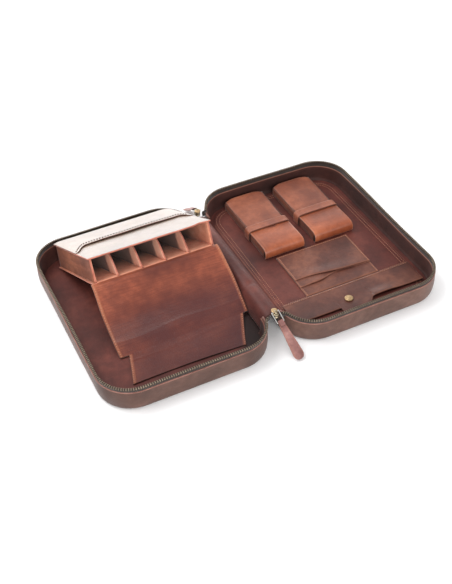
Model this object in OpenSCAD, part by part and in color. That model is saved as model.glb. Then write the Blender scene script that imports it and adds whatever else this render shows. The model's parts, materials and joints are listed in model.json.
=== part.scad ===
// Zip-around leather watch box, lying open like a book.
// The origin is on the surface it stands on, under the middle of the spine.
// +X points to the lid half, +Y to the rear, +Z up. All sizes are in millimetres.

/* [Case] */
// Width of each half, from the spine to its outer edge
half_w = 240; // [220:1:280]
// Depth of each half, from front to rear
half_d = 330; // [320:1:380]
// Outer corner radius of each half
corner_r = 49; // [40:1:55]
// Height of the leather wall of each half
wall_h = 31.5; // [30:0.5:40]
// Height of the zip above the leather wall
zip_h = 7; // [6:0.5:9]
// Gap between the two halves where the spine arches up
spine_gap = 27; // [26:0.5:32]
// Thickness of the wall leather
wall_t = 2.4; // [2:0.1:3]
// Thickness of the cover leather under each half
cover_t = 2; // [1.5:0.1:2.5]
// Thickness of the stiffening board in each half
board_t = 1.2; // [1:0.1:1.5]
// Thickness of the lining
lining_t = 1.2; // [1:0.1:1.5]

/* [Tray] */
// Width of the watch tray
tray_w = 178.5; // [160:0.5:185]
// Depth of the watch tray, from its back wall to its mouth
tray_d = 130; // [110:1:132]
// Height of the watch tray inside
tray_h = 36.4; // [30:0.1:38]
// Sideways lean of the tray: how far its mouth sits to the right of its back
tray_lean = 18; // [0:1:20]
// Angle at which the tray is propped up
tray_tilt = 24.3; // [20:0.1:26]
// Thickness of the tray leather
tray_t = 2; // [1.5:0.1:2.2]

/* [Flap] */
// Width of the tray's flap
flap_w = 189; // [175:1:190]
// Thickness of the flap leather
flap_t = 1.8; // [1.2:0.1:2]
// Length of the stretch that comes level out of the tray's base
flap_root_l = 5; // [4:0.5:7]
// Length of the stretch that covers the mouth of the tray
flap_front_l = 45; // [44:0.5:48]
// Length of the stretch that covers the roof of the tray
flap_top_l = 58.5; // [50:0.5:60]
// Length of the narrow tongue
tongue_l = 52; // [40:0.5:55]
// Width of the tongue where it leaves the flap
tongue_w = 163; // [120:1:170]

/* [Pouches] */
// Width of each pouch
pouch_w = 64; // [50:1:70]
// Depth of each pouch, from front to rear
pouch_d = 140; // [120:1:145]
// Height of each pouch
pouch_h = 16.5; // [12:0.5:17]
// Gap between the two pouches
pouch_gap = 20; // [14:1:30]
// Width of the strap that holds each pouch's leaf down
strap_w = 72; // [66:1:80]
// Depth of the strap, from front to rear
strap_d = 14; // [10:1:40]

/* [Pockets] */
// Width of the card pocket
card_w = 119; // [100:1:140]
// Depth of the card pocket
card_d = 92; // [80:1:92]
// Width of the front pocket's flap
pocket_w = 207; // [180:1:208]
// Depth of the front pocket's flap
pocket_d = 43; // [35:1:44]
// Diameter of the snap's cap
snap_d = 12.5; // [10:0.5:15]

/* [Zip pulls] */
// Length of the leather pull
pull_l = 58; // [45:1:58]
// Width of the pull at its round end
pull_w = 14.5; // [12:0.5:15]
// Angle at which each pull hangs below level
pull_drop = 33; // [30:1:33]

/* [Hidden] */
$fn = 64;

// Case levels and centres
spine_x = spine_gap / 2;
half_cx = spine_x + half_w / 2;
rim_z = wall_h + zip_h;
board_z = cover_t;
lining_z = board_z + board_t;
floor_z = lining_z + lining_t;
// The wall stops short of the spine side between the round corners
spine_open_y = half_d / 2 - corner_r;
tape_open_y = spine_open_y + 5;
opening_w = 40;
board_in = 1.6;
piping_h = 1.6;
piping_out = 0.5;
tape_t = 1.1;
tape_in = 0.7;
teeth_t = 2;
teeth_h = 1.8;
// The lining panel of the lid half, which carries the pouches and pockets
panel_in = 13;
panel_t = 1.4;
panel_z = floor_z + panel_t;

// Spine arch
spine_y = spine_open_y - 1;
spine_r = 13.2;
spine_t = 2;
spine_lining_t = 1.2;
spine_c_z = 20;
spine_lift = 0.1;

// Zip sliders
slider_y = spine_open_y + 9;
slider_w = 6.4;
slider_l = 12;
slider_z = 34.5;
slider_h = 6.5;
slider_slot = 1.6;
bridge_w = 4.4;
bridge_r = 4;
bridge_hole_r = 2.3;
wire_lift = 1.2;
wire_r = 0.9;
wire_z = slider_z + slider_h + wire_lift;
loop_w = 11;
loop_l = 15;
pull_t = 3;
pull_top_w = 7.2;
// How far the pull reaches past the wire that holds it
pull_lap = 2;
wire_play = 0.05;
// Where the pull's round end has its centre, along the pull
pull_end_y = -loop_l + pull_lap - pull_l + pull_w / 2;
pull_yaw = 8;
tape_bridge_in = 7.6;
tape_bridge_l = spine_x + 1.5 - tape_bridge_in;

// Tray, with five compartments between four dividers
tray_cells = 5;
tray_back_y = 138.7;
tray_back_x = -217;
tray_z = floor_z + 0.4;
// How far the base stands out under the mouth
base_lip = 2;
roof_t = 1.8;
roof_over = 2.4;
// The roof's right rear corner is cut off, clear of the zip
roof_cut = 6;
band_d = 65;
band_t = 1.8;
band_gap = 1.6;
// The band is sewn down along its sides and its rear
band_side = 4;
band_rear = 6;
divider_t = 2;
divider_r = 30;
cell_pitch = (tray_w - 2 * tray_t + divider_t) / tray_cells;

// Flap, whose root lies just in front of the tray's base
root_u = tray_d + base_lip + 2;
root_v = tray_t / 2;
front_fall = 28;
top_fall = 34.3;
flap_x = -111.5;
bend_gap = 1.7;
tongue_skew = -18;
tongue_end_w = 155;
root_y = tray_back_y - root_u * cos(tray_tilt) + root_v * sin(tray_tilt);
root_z = tray_z + root_u * sin(tray_tilt) + root_v * cos(tray_tilt);
close_y = root_y - flap_root_l;
bend_y = close_y - flap_front_l * cos(front_fall);
bend_z = root_z - flap_front_l * sin(front_fall);
tip_y = bend_y - flap_top_l * cos(top_fall);
tip_z = bend_z - flap_top_l * sin(top_fall);

// Pouches
pouch_t = 1.8;
pouch_r = 8;
// The body starts this far behind the folded front
body_in = 4;
pouch_y = 12;
pouch_x = [half_cx - 1 - (pouch_w + pouch_gap) / 2, half_cx - 1 + (pouch_w + pouch_gap) / 2];
pouch_top_z = panel_z + pouch_h;
strap_t = 1.8;
strap_y = 61;
strap_gap = 0.3;
leaf_gap = 0.5;
fold_r = 0.9;
fold_lift = 0.05;

// Pockets
card_x = 132;
card_y = -86;
card_t = 1.2;
card_lap = 0.1;
card_steps = [0, 20, 32];
pocket_x = 135;
pocket_y = -87;
pocket_t = 1.6;
pocket_z = panel_z + pocket_t;
// The flap starts this far in front of the line it lifts on
pocket_in = 1.1;
tab_x = 121.5;
tab_w = 38;
tab_l = 12;
snap_y = -118;
snap_stem_r = 2.4;
snap_hole_r = 2.7;
snap_rim_h = 1;
snap_dome_h = 0.8;
snap_bevel = 1.2;
snap_stem_z = 0.1;
stud_r = 5;
stud_h = 0.6;
stud_tip_r = 1.8;
stud_tip_h = 1.4;

leather_c = "saddlebrown";
dark_c = "#5a3a34";
tan_c = "#d2866a";
metal_c = "#9a8f7c";
brass_c = "#b9a073";
tape_c = "#4b4441";

// ---- shared shapes ----

// A rectangle with round corners, centred
module round_rect(w, d, r) {
    square([w - 2 * r, d], center = true);
    square([w, d - 2 * r], center = true);
    for (sx = [-1, 1], sy = [-1, 1])
        translate([sx * (w / 2 - r), sy * (d / 2 - r)]) circle(r);
}

// The outline of a half, drawn in by a distance
module half_outline(inset) {
    round_rect(half_w - 2 * inset, half_d - 2 * inset, corner_r - inset);
}

// A wall along the outline, left open beside the spine; side is 1 for the lid half
module open_ring(outer, inner, side, open_y) {
    difference() {
        half_outline(outer);
        half_outline(inner);
        translate([-side * half_w / 2, 0]) square([opening_w, 2 * open_y], center = true);
    }
}

module at_half(side, z) {
    translate([side * half_cx, 0, z]) children();
}

// The tray's own axes: x to the right, y forward from its back edge, z up from its base
module at_tray() {
    translate([tray_back_x, tray_back_y, tray_z])
        rotate([-tray_tilt, 0, 0]) mirror([0, 1, 0]) children();
}

// A slab of the leaning tray between two depths and two widths, seen from above
module lean_slab(x0, x1, y0, y1, z0, h) {
    s = tray_lean / tray_d;
    translate([0, 0, z0]) linear_extrude(h)
        polygon([[x0 + s * y0, y0], [x1 + s * y0, y0], [x1 + s * y1, y1], [x0 + s * y1, y1]]);
}

// ---- case halves ----

module cover(side) color(leather_c) at_half(side, 0)
    linear_extrude(cover_t) half_outline(wall_t);

module board(side) color("tan") at_half(side, board_z)
    linear_extrude(board_t) half_outline(wall_t + board_in);

module lining(side) color(dark_c) at_half(side, lining_z)
    linear_extrude(lining_t) half_outline(wall_t);

module gusset(side) color(leather_c) at_half(side, 0)
    linear_extrude(wall_h) open_ring(0, wall_t, side, spine_open_y);

module piping(side) color(tan_c) at_half(side, wall_h - piping_h)
    linear_extrude(piping_h) open_ring(-piping_out, 0, side, spine_open_y);

module zip_tape(side) color(tape_c) {
    at_half(side, wall_h) linear_extrude(zip_h)
        open_ring(tape_in, tape_in + tape_t, side, tape_open_y);
    // The tape's two ends, which run across to the sliders
    for (s = [-1, 1])
        translate([side * (tape_bridge_in + tape_bridge_l / 2), s * slider_y, wall_h + zip_h / 2])
            cube([tape_bridge_l, tape_t, zip_h], center = true);
}

module zip_teeth(side) color(metal_c) at_half(side, rim_z - teeth_h)
    linear_extrude(teeth_h)
        open_ring(tape_in + tape_t, tape_in + tape_t + teeth_t, side, tape_open_y);

module right_panel() color(dark_c) at_half(1, floor_z)
    linear_extrude(panel_t) half_outline(panel_in);

// ---- spine ----

// A strip that arches up from one half to the other, with straight legs
module arch(r, t, foot_z) {
    rotate([90, 0, 0]) linear_extrude(2 * spine_y, center = true) {
        intersection() {
            translate([0, spine_c_z]) difference() {
                circle(r);
                circle(r - t);
            }
            translate([-r, spine_c_z]) square([2 * r, r]);
        }
        for (s = [-1, 1])
            translate([s * (r - t / 2) - t / 2, foot_z]) square([t, spine_c_z - foot_z]);
    }
}

module spine_leather() color(leather_c) arch(spine_r, spine_t, 0);

module spine_lining() color(dark_c)
    arch(spine_r + spine_lining_t + spine_lift, spine_lining_t, floor_z);

// ---- zip sliders and pulls; end is -1 at the front and 1 at the rear ----

module slider(end) color(metal_c) translate([0, end * slider_y, 0]) {
    difference() {
        translate([-slider_w / 2, -slider_l / 2, slider_z]) cube([slider_w, slider_l, slider_h]);
        for (s = [-1, 1])
            translate([s * slider_w / 2, 0, slider_z + slider_h / 2])
                cube([slider_w / 2, slider_l + 1, slider_slot], center = true);
    }
    translate([0, 0, slider_z + slider_h]) rotate([90, 0, 90])
        linear_extrude(bridge_w, center = true) intersection() {
            difference() {
                circle(bridge_r);
                circle(bridge_hole_r);
            }
            translate([-bridge_r, 0]) square([2 * bridge_r, bridge_r]);
        }
}

// The pull's own axes: -y runs down the pull from the wire in the bridge
module at_pull(end) {
    translate([0, end * slider_y, wire_z])
        rotate([0, 0, end < 0 ? pull_yaw : 180 - pull_yaw]) rotate([pull_drop, 0, 0]) children();
}

module wire_loop(end) color("silver") at_pull(end) {
    for (y = [0, -loop_l])
        translate([0, y, 0]) rotate([0, 90, 0]) cylinder(loop_w, r = wire_r, center = true);
    for (s = [-1, 1]) {
        translate([s * loop_w / 2, 0, 0]) rotate([90, 0, 0]) cylinder(loop_l, r = wire_r);
        for (y = [0, -loop_l])
            translate([s * loop_w / 2, y, 0]) sphere(wire_r);
    }
}

module pull(end) color(leather_c) at_pull(end) difference() {
    translate([0, 0, -pull_t / 2]) linear_extrude(pull_t) union() {
        translate([0, pull_end_y]) circle(pull_w / 2);
        polygon([[-pull_top_w / 2, -loop_l + pull_lap], [-pull_w / 2, pull_end_y],
                 [pull_w / 2, pull_end_y], [pull_top_w / 2, -loop_l + pull_lap]]);
    }
    translate([0, -loop_l, 0]) rotate([0, 90, 0])
        cylinder(pull_w, r = wire_r + wire_play, center = true);
}

// ---- watch tray ----

module tray_base() color(tan_c) at_tray()
    lean_slab(0, tray_w, 0, tray_d + base_lip, 0, tray_t);

module tray_side(x0) color(leather_c) at_tray()
    lean_slab(x0, x0 + tray_t, 0, tray_d, tray_t, tray_h - tray_t);

module tray_back_wall() color(leather_c) at_tray()
    lean_slab(tray_t, tray_w - tray_t, 0, tray_t, tray_t, tray_h - tray_t);

module roof_corner() translate([tray_w + roof_over, 0, tray_h - 1])
    cylinder(roof_t + band_gap + band_t + 2, r = roof_cut, $fn = 4);

module tray_roof() color(leather_c) at_tray() difference() {
    lean_slab(-roof_over, tray_w + roof_over, 0, tray_d + roof_over, tray_h, roof_t);
    roof_corner();
}

// The sewn band on the roof: an open-fronted pocket for the tongue
module tray_band() color(leather_c) at_tray() difference() {
    lean_slab(-roof_over, tray_w + roof_over, 0, band_d, tray_h + roof_t, band_gap + band_t);
    lean_slab(band_side, tray_w - band_side, band_rear, band_d + 1, tray_h + roof_t, band_gap);
    roof_corner();
}

// A divider whose front edge rises in a quarter round from the mouth
module tray_divider(i) color(tan_c) at_tray() intersection() {
    lean_slab(tray_t + i * cell_pitch - divider_t, tray_t + i * cell_pitch,
              tray_t, tray_d, tray_t, tray_h - tray_t);
    translate([-10, 0, 0]) rotate([90, 0, 90]) linear_extrude(tray_w + 60) union() {
        square([tray_d - divider_r, tray_h]);
        translate([tray_d - divider_r, 0]) intersection() {
            circle(tray_h, $fn = 96);
            square([divider_r, tray_h]);
        }
    }
}

// ---- flap ----

// A stretch of the flap that starts at a bend line and falls forward
module flap_part(y, z, fall, points) color(leather_c)
    translate([flap_x, y, z]) rotate([fall, 0, 0]) translate([0, 0, -flap_t / 2])
        linear_extrude(flap_t) polygon(points);

function wide_points(l) = [[-flap_w / 2, -bend_gap], [flap_w / 2, -bend_gap],
                           [flap_w / 2, bend_gap - l], [-flap_w / 2, bend_gap - l]];

module flap_welt() {
    color(leather_c) translate([flap_x, root_y, root_z]) rotate([0, 90, 0])
        cylinder(flap_w, r = flap_t / 2, center = true);
    flap_part(root_y, root_z, 0, [[-flap_w / 2, 0], [flap_w / 2, 0],
        [flap_w / 2, bend_gap - flap_root_l], [-flap_w / 2, bend_gap - flap_root_l]]);
}

module flap_front() flap_part(close_y, root_z, front_fall, wide_points(flap_front_l));

module flap_top() flap_part(bend_y, bend_z, top_fall, wide_points(flap_top_l));

module flap_tongue() flap_part(tip_y, tip_z, 0,
    [[-tongue_w / 2, -bend_gap], [tongue_w / 2, -bend_gap],
     [tongue_end_w / 2 + tongue_skew, -tongue_l], [-tongue_end_w / 2 + tongue_skew, -tongue_l]]);

// ---- pouches in the lid half; i is 0 or 1 ----

module pouch_body(i) color(dark_c) translate([pouch_x[i], pouch_y, panel_z]) {
    translate([-pouch_w / 2, body_in, 0]) cube([pouch_w, pouch_d - body_in, pouch_t]);
    for (s = [-1, 1])
        translate([s * (pouch_w / 2 - pouch_t / 2) - pouch_t / 2, body_in, pouch_t])
            cube([pouch_t, pouch_d - body_in, pouch_h - 2 * pouch_t]);
    translate([-pouch_w / 2 + pouch_t, pouch_d - pouch_t, pouch_t])
        cube([pouch_w - 2 * pouch_t, pouch_t, pouch_h - 2 * pouch_t]);
}

// The top panel, round at its rear corners and square under the strap
module pouch_top(i) color(leather_c)
    translate([pouch_x[i], strap_y + leaf_gap, pouch_top_z - pouch_t]) linear_extrude(pouch_t) {
        d = pouch_y + pouch_d - strap_y - leaf_gap;
        translate([-pouch_w / 2, 0]) square([pouch_w, d - pouch_r]);
        translate([-pouch_w / 2 + pouch_r, 0]) square([pouch_w - 2 * pouch_r, d]);
        for (s = [-1, 1])
            translate([s * (pouch_w / 2 - pouch_r), d - pouch_r]) circle(pouch_r);
    }

module pouch_strap(i) color(leather_c) translate([pouch_x[i], strap_y, 0]) {
    translate([-strap_w / 2, 0, pouch_top_z + strap_gap]) cube([strap_w, strap_d, strap_t]);
    for (s = [-1, 1])
        translate([s * (strap_w / 2 - strap_t / 2) - strap_t / 2, 0, panel_z])
            cube([strap_t, strap_d, pouch_top_z + strap_gap - panel_z]);
}

module pouch_front(i) color(leather_c)
    translate([pouch_x[i] - pouch_w / 2, pouch_y, panel_z]) {
        translate([0, 0, 2 * fold_r]) cube([pouch_w, 2 * fold_r, pouch_h - 5 * fold_r]);
        translate([0, fold_r, fold_r + fold_lift])
            rotate([0, 90, 0]) cylinder(pouch_w, r = fold_r);
        translate([0, 0, fold_r]) cube([pouch_w, 2 * fold_r, fold_r]);
    }

module pouch_leaf(i) color(leather_c)
    translate([pouch_x[i] - pouch_w / 2, pouch_y, pouch_top_z - 2 * fold_r]) {
        translate([0, fold_r, fold_r]) rotate([0, 90, 0]) cylinder(pouch_w, r = fold_r);
        translate([0, fold_r, 0])
            cube([pouch_w, strap_y - leaf_gap - pouch_y - fold_r, 2 * fold_r]);
    }

// ---- pockets in the lid half ----

module card_layer(i) color(dark_c)
    translate([card_x - card_w / 2, card_y + card_steps[i], panel_z + i * (card_t + card_lap)])
        cube([card_w, card_d - card_steps[i], card_t]);

module pocket_flap() color(leather_c) translate([pocket_x, pocket_y, pocket_z]) difference() {
    linear_extrude(pocket_t) {
        translate([-pocket_w / 2, -pocket_d + 0.9]) square([pocket_w, pocket_d - 0.9 - pocket_in]);
        translate([tab_x - pocket_x - tab_w / 2, -pocket_d - tab_l]) square([tab_w, tab_l + 1]);
    }
    translate([tab_x - pocket_x, snap_y - pocket_y, -1]) cylinder(pocket_t + 2, r = snap_hole_r);
}

module snap_cap() color(brass_c) translate([tab_x, snap_y, pocket_z]) {
    translate([0, 0, pocket_t]) cylinder(snap_rim_h, r = snap_d / 2);
    translate([0, 0, pocket_t + snap_rim_h])
        cylinder(snap_dome_h, r1 = snap_d / 2, r2 = snap_d / 2 - snap_bevel);
    translate([0, 0, snap_stem_z]) cylinder(pocket_t, r = snap_stem_r);
}

module snap_stud() color(brass_c) translate([tab_x, snap_y, panel_z]) {
    cylinder(stud_h, r = stud_r);
    cylinder(stud_tip_h, r = stud_tip_r);
}

cover(-1);  // left_cover
board(-1);  // left_board
lining(-1);  // left_lining
gusset(-1);  // left_gusset
piping(-1);  // left_piping
zip_tape(-1);  // left_zip_tape
zip_teeth(-1);  // left_zip_teeth
cover(1);  // right_cover
board(1);  // right_board
lining(1);  // right_lining
gusset(1);  // right_gusset
piping(1);  // right_piping
zip_tape(1);  // right_zip_tape
zip_teeth(1);  // right_zip_teeth
right_panel();
spine_leather();
spine_lining();
slider(-1);  // front_slider
wire_loop(-1);  // front_wire_loop
pull(-1);  // front_pull
slider(1);  // rear_slider
wire_loop(1);  // rear_wire_loop
pull(1);  // rear_pull
tray_base();
tray_side(0);  // tray_left_wall
tray_side(tray_w - tray_t);  // tray_right_wall
tray_back_wall();
tray_roof();
tray_band();
tray_divider(1);  // tray_divider_1
tray_divider(2);  // tray_divider_2
tray_divider(3);  // tray_divider_3
tray_divider(4);  // tray_divider_4
flap_welt();
flap_front();
flap_top();
flap_tongue();
pouch_body(0);  // pouch_1_body
pouch_top(0);  // pouch_1_top
pouch_strap(0);  // pouch_1_strap
pouch_front(0);  // pouch_1_front
pouch_leaf(0);  // pouch_1_leaf
pouch_body(1);  // pouch_2_body
pouch_top(1);  // pouch_2_top
pouch_strap(1);  // pouch_2_strap
pouch_front(1);  // pouch_2_front
pouch_leaf(1);  // pouch_2_leaf
card_layer(0);  // card_pocket_back
card_layer(1);  // card_pocket_middle
card_layer(2);  // card_pocket_top
pocket_flap();
snap_cap();
snap_stud();
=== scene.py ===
import json
import math

import bmesh
import bpy
import numpy as np
from mathutils import Matrix, Vector


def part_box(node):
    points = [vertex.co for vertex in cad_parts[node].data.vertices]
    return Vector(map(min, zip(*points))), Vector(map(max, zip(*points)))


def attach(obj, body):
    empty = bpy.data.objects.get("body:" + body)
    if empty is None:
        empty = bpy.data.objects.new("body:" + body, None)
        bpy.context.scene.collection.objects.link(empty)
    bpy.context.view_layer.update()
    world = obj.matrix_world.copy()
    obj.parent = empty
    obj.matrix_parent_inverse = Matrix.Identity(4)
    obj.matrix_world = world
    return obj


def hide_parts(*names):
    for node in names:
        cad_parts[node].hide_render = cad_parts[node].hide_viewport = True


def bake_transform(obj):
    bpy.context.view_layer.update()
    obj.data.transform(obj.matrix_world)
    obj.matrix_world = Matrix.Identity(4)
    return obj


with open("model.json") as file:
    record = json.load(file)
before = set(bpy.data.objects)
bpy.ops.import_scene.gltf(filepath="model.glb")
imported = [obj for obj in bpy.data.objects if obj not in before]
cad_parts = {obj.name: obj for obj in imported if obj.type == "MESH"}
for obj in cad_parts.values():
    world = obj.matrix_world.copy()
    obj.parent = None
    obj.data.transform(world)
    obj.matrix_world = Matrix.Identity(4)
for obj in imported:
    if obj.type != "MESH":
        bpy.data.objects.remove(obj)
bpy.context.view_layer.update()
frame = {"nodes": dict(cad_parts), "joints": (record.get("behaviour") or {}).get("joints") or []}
MM = 0.001
JOINT = {j["name"]: Vector(j["pos_m"]) / MM for j in frame["joints"]}


def box(node):
    """A CAD node's corners in millimetres."""
    lo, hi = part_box(node)
    return lo / MM, hi / MM


# ---------------------------------------------------------------- materials

def lin(r, g, b):
    """An sRGB colour, 0 to 255, as linear RGBA."""
    def one(v):
        v /= 255
        return v / 12.92 if v <= 0.04045 else ((v + 0.055) / 1.055) ** 2.4
    return (one(r), one(g), one(b), 1)


def darker(color, share):
    return lin(*[c * share for c in color])


# the colour sockets of a Mix node; its float and vector sockets bear the same names
MIX_A, MIX_B, MIX_RESULT = 6, 7, 2


class Tree:
    """Builds a node tree in few words."""

    def __init__(self, name):
        self.mat = bpy.data.materials.new(name)
        self.mat.use_nodes = True
        self.nt = self.mat.node_tree
        self.bsdf = self.nt.nodes["Principled BSDF"]

    def node(self, kind, inputs=None, **props):
        n = self.nt.nodes.new(kind)
        for k, v in props.items():
            setattr(n, k, v)
        for k, v in (inputs or {}).items():
            self.set(n.inputs[k], v)
        return n

    def set(self, socket, v):
        if isinstance(v, bpy.types.NodeSocket):
            self.nt.links.new(v, socket)
        else:
            socket.default_value = v

    def coords(self, scale=(1, 1, 1), turn=0.0):
        tc = self.node("ShaderNodeTexCoord")
        m = self.node("ShaderNodeMapping", {"Vector": tc.outputs["Object"], "Scale": scale})
        m.inputs["Rotation"].default_value = (0, 0, turn)
        return m.outputs[0]

    def noise(self, scale, detail=3.0, rough=0.55, vec=None):
        n = self.node("ShaderNodeTexNoise", {"Scale": scale, "Detail": detail, "Roughness": rough})
        if vec is not None:
            self.set(n.inputs["Vector"], vec)
        return n.outputs["Fac"]

    def voronoi(self, scale, vec=None, feature="F1"):
        n = self.node("ShaderNodeTexVoronoi", {"Scale": scale}, feature=feature)
        if vec is not None:
            self.set(n.inputs["Vector"], vec)
        return n.outputs["Distance"]

    def ramp(self, fac, stops):
        n = self.node("ShaderNodeValToRGB", {"Fac": fac})
        els = n.color_ramp.elements
        while len(els) < len(stops):
            els.new(0.5)
        for el, (pos, col) in zip(els, stops):
            el.position = pos
            el.color = col
        return n.outputs["Color"]

    def span(self, fac, a, b, lo, hi):
        n = self.node("ShaderNodeMapRange", {"Value": fac, "From Min": a, "From Max": b,
                                             "To Min": lo, "To Max": hi})
        return n.outputs["Result"]

    def mix(self, fac, a, b):
        n = self.node("ShaderNodeMix", data_type="RGBA")
        self.set(n.inputs["Factor"], fac)
        self.set(n.inputs[MIX_A], a)
        self.set(n.inputs[MIX_B], b)
        return n.outputs[MIX_RESULT]

    def math(self, op, a, b):
        n = self.node("ShaderNodeMath", operation=op)
        self.set(n.inputs[0], a)
        self.set(n.inputs[1], b)
        return n.outputs[0]

    def attribute(self, name, which="Fac"):
        return self.node("ShaderNodeAttribute", attribute_name=name).outputs[which]

    def bump(self, height, strength, distance):
        n = self.node("ShaderNodeBump", {"Strength": strength, "Distance": distance,
                                         "Height": height})
        self.set(self.bsdf.inputs["Normal"], n.outputs[0])

    def done(self, color, rough, **sockets):
        self.set(self.bsdf.inputs["Base Color"], color)
        self.set(self.bsdf.inputs["Roughness"], rough)
        for k, v in sockets.items():
            self.set(self.bsdf.inputs[k.replace("_", " ")], v)
        return self.mat


def leather(name, dark, mid, light, hem, patch=16, grain=900, rough=(0.34, 0.52),
            bump=0.25, streak=0.0, coat=0.0, gloss=0.5, shade_colour=None):
    """Pull-up leather: patches of lighter wear, pores, fine creases and, by attribute, tan hems.
    shade_colour is the colour of the painted shade that the shade attribute leads to; streak draws
    long grain lines."""
    t = Tree(name)
    vec = t.coords()
    big = t.noise(patch, 4, 0.6, vec)
    col = t.ramp(big, [(0.34, lin(*dark)), (0.50, lin(*mid)), (0.66, lin(*light))])
    fine = t.noise(patch * 11, 6, 0.65, vec)
    col = t.mix(t.span(fine, 0.35, 0.7, 0.0, 0.55), col, lin(*dark))
    pores = t.voronoi(grain, vec)
    col = t.mix(t.span(pores, 0.0, 0.25, 0.35, 0.0), col, darker(dark, 0.55))
    height = t.math("ADD", t.math("MULTIPLY", pores, 0.6), t.math("MULTIPLY", fine, 1.2))
    if streak:
        lines = t.noise(1.0, 5, 0.7, t.coords((38, 620, 620), 0.12))
        col = t.mix(t.span(lines, 0.46, 0.62, 0.0, streak), col, lin(*dark))
        height = t.math("ADD", height, t.math("MULTIPLY", lines, 2.0 * streak))
    cracks = t.voronoi(150, vec, "DISTANCE_TO_EDGE")
    height = t.math("ADD", height, t.math("MULTIPLY", t.span(cracks, 0.0, 0.08, 0.0, 0.5), 0.6))
    hems = t.attribute("hem")
    edge = t.mix(t.noise(260, 3, 0.5, vec), lin(*hem), darker(hem, 0.72))
    col = t.mix(hems, col, edge)
    # the shade attribute is painted shade: darker where less light falls
    shade = t.attribute("shade")
    col = t.mix(shade, col, lin(*shade_colour) if shade_colour else darker(dark, 0.42))
    t.bump(height, bump, 0.0006)
    return t.done(col, t.span(t.noise(patch * 3, 4, 0.6, vec), 0.3, 0.7, *rough),
                  Coat_Weight=coat, Coat_Roughness=0.25, Sheen_Weight=0.06,
                  Specular_IOR_Level=gloss)


def raw_edge(name, col_a, col_b, col_c):
    """Cut or flesh-side leather: matte, fibrous, a little uneven."""
    t = Tree(name)
    vec = t.coords()
    col = t.ramp(t.noise(55, 5, 0.7, vec), [(0.3, lin(*col_a)), (0.55, lin(*col_b)),
                                           (0.8, lin(*col_c))])
    fibre = t.noise(1500, 4, 0.75, vec)
    col = t.mix(t.span(fibre, 0.4, 0.7, 0.0, 0.35), col, darker(col_a, 0.8))
    # the shade attribute is painted shade: darker where less light falls
    shade = t.attribute("shade")
    col = t.mix(shade, col, darker(col_a, 0.3))
    t.bump(fibre, 0.3, 0.0005)
    return t.done(col, t.span(fibre, 0.3, 0.7, 0.6, 0.85), Sheen_Weight=0.2,
                  Specular_IOR_Level=0.3)


def tape_cloth(name):
    """Woven zip tape, a twill in the band's own coordinates."""
    t = Tree(name)
    st = t.attribute("st", "Vector")
    wave = t.node("ShaderNodeTexWave", {"Vector": st, "Scale": 420.0, "Distortion": 0.4,
                                        "Detail": 1.0}, wave_type="BANDS",
                  bands_direction="DIAGONAL")
    rows = t.node("ShaderNodeTexWave", {"Vector": st, "Scale": 300.0}, bands_direction="Y")
    h = t.math("ADD", wave.outputs["Fac"], rows.outputs["Fac"])
    col = t.mix(t.span(h, 0.3, 1.7, 0.0, 1.0), lin(24, 18, 16), lin(56, 45, 39))
    col = t.mix(t.span(t.noise(30, 4, 0.6, t.coords()), 0.35, 0.75, 0, 0.5), col,
                lin(70, 54, 44))
    t.bump(h, 0.5, 0.0005)
    return t.done(col, 0.82, Sheen_Weight=0.25, Specular_IOR_Level=0.25)


def metal(name, col_a, col_b, rough, grime):
    """Worn metal: cloudy tone, fine scratches, dark grime in the lows."""
    t = Tree(name)
    vec = t.coords()
    cloud = t.noise(160, 5, 0.6, vec)
    col = t.mix(cloud, lin(*col_a), lin(*col_b))
    scratch = t.noise(1.0, 3, 0.6, t.coords((3200, 260, 900), 0.6))
    dirt = t.noise(420, 4, 0.7, vec)
    col = t.mix(t.span(dirt, 0.5, 0.72, 0.0, grime), col, darker(col_a, 0.35))
    t.bump(scratch, 0.15, 0.0003)
    return t.done(col, t.span(t.math("ADD", scratch, dirt), 0.7, 1.3, rough * 0.75,
                              rough * 1.5), Metallic=1.0)


def card(name):
    t = Tree(name)
    fibre = t.noise(700, 5, 0.7, t.coords())
    t.bump(fibre, 0.3, 0.0004)
    return t.done(t.mix(fibre, lin(150, 122, 94), lin(186, 160, 128)), 0.85)


def thread(name, col_a, col_b):
    t = Tree(name)
    n = t.noise(900, 3, 0.6, t.coords())
    t.bump(n, 0.4, 0.0003)
    return t.done(t.mix(n, lin(*col_a), lin(*col_b)), 0.62, Sheen_Weight=0.3)


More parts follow.
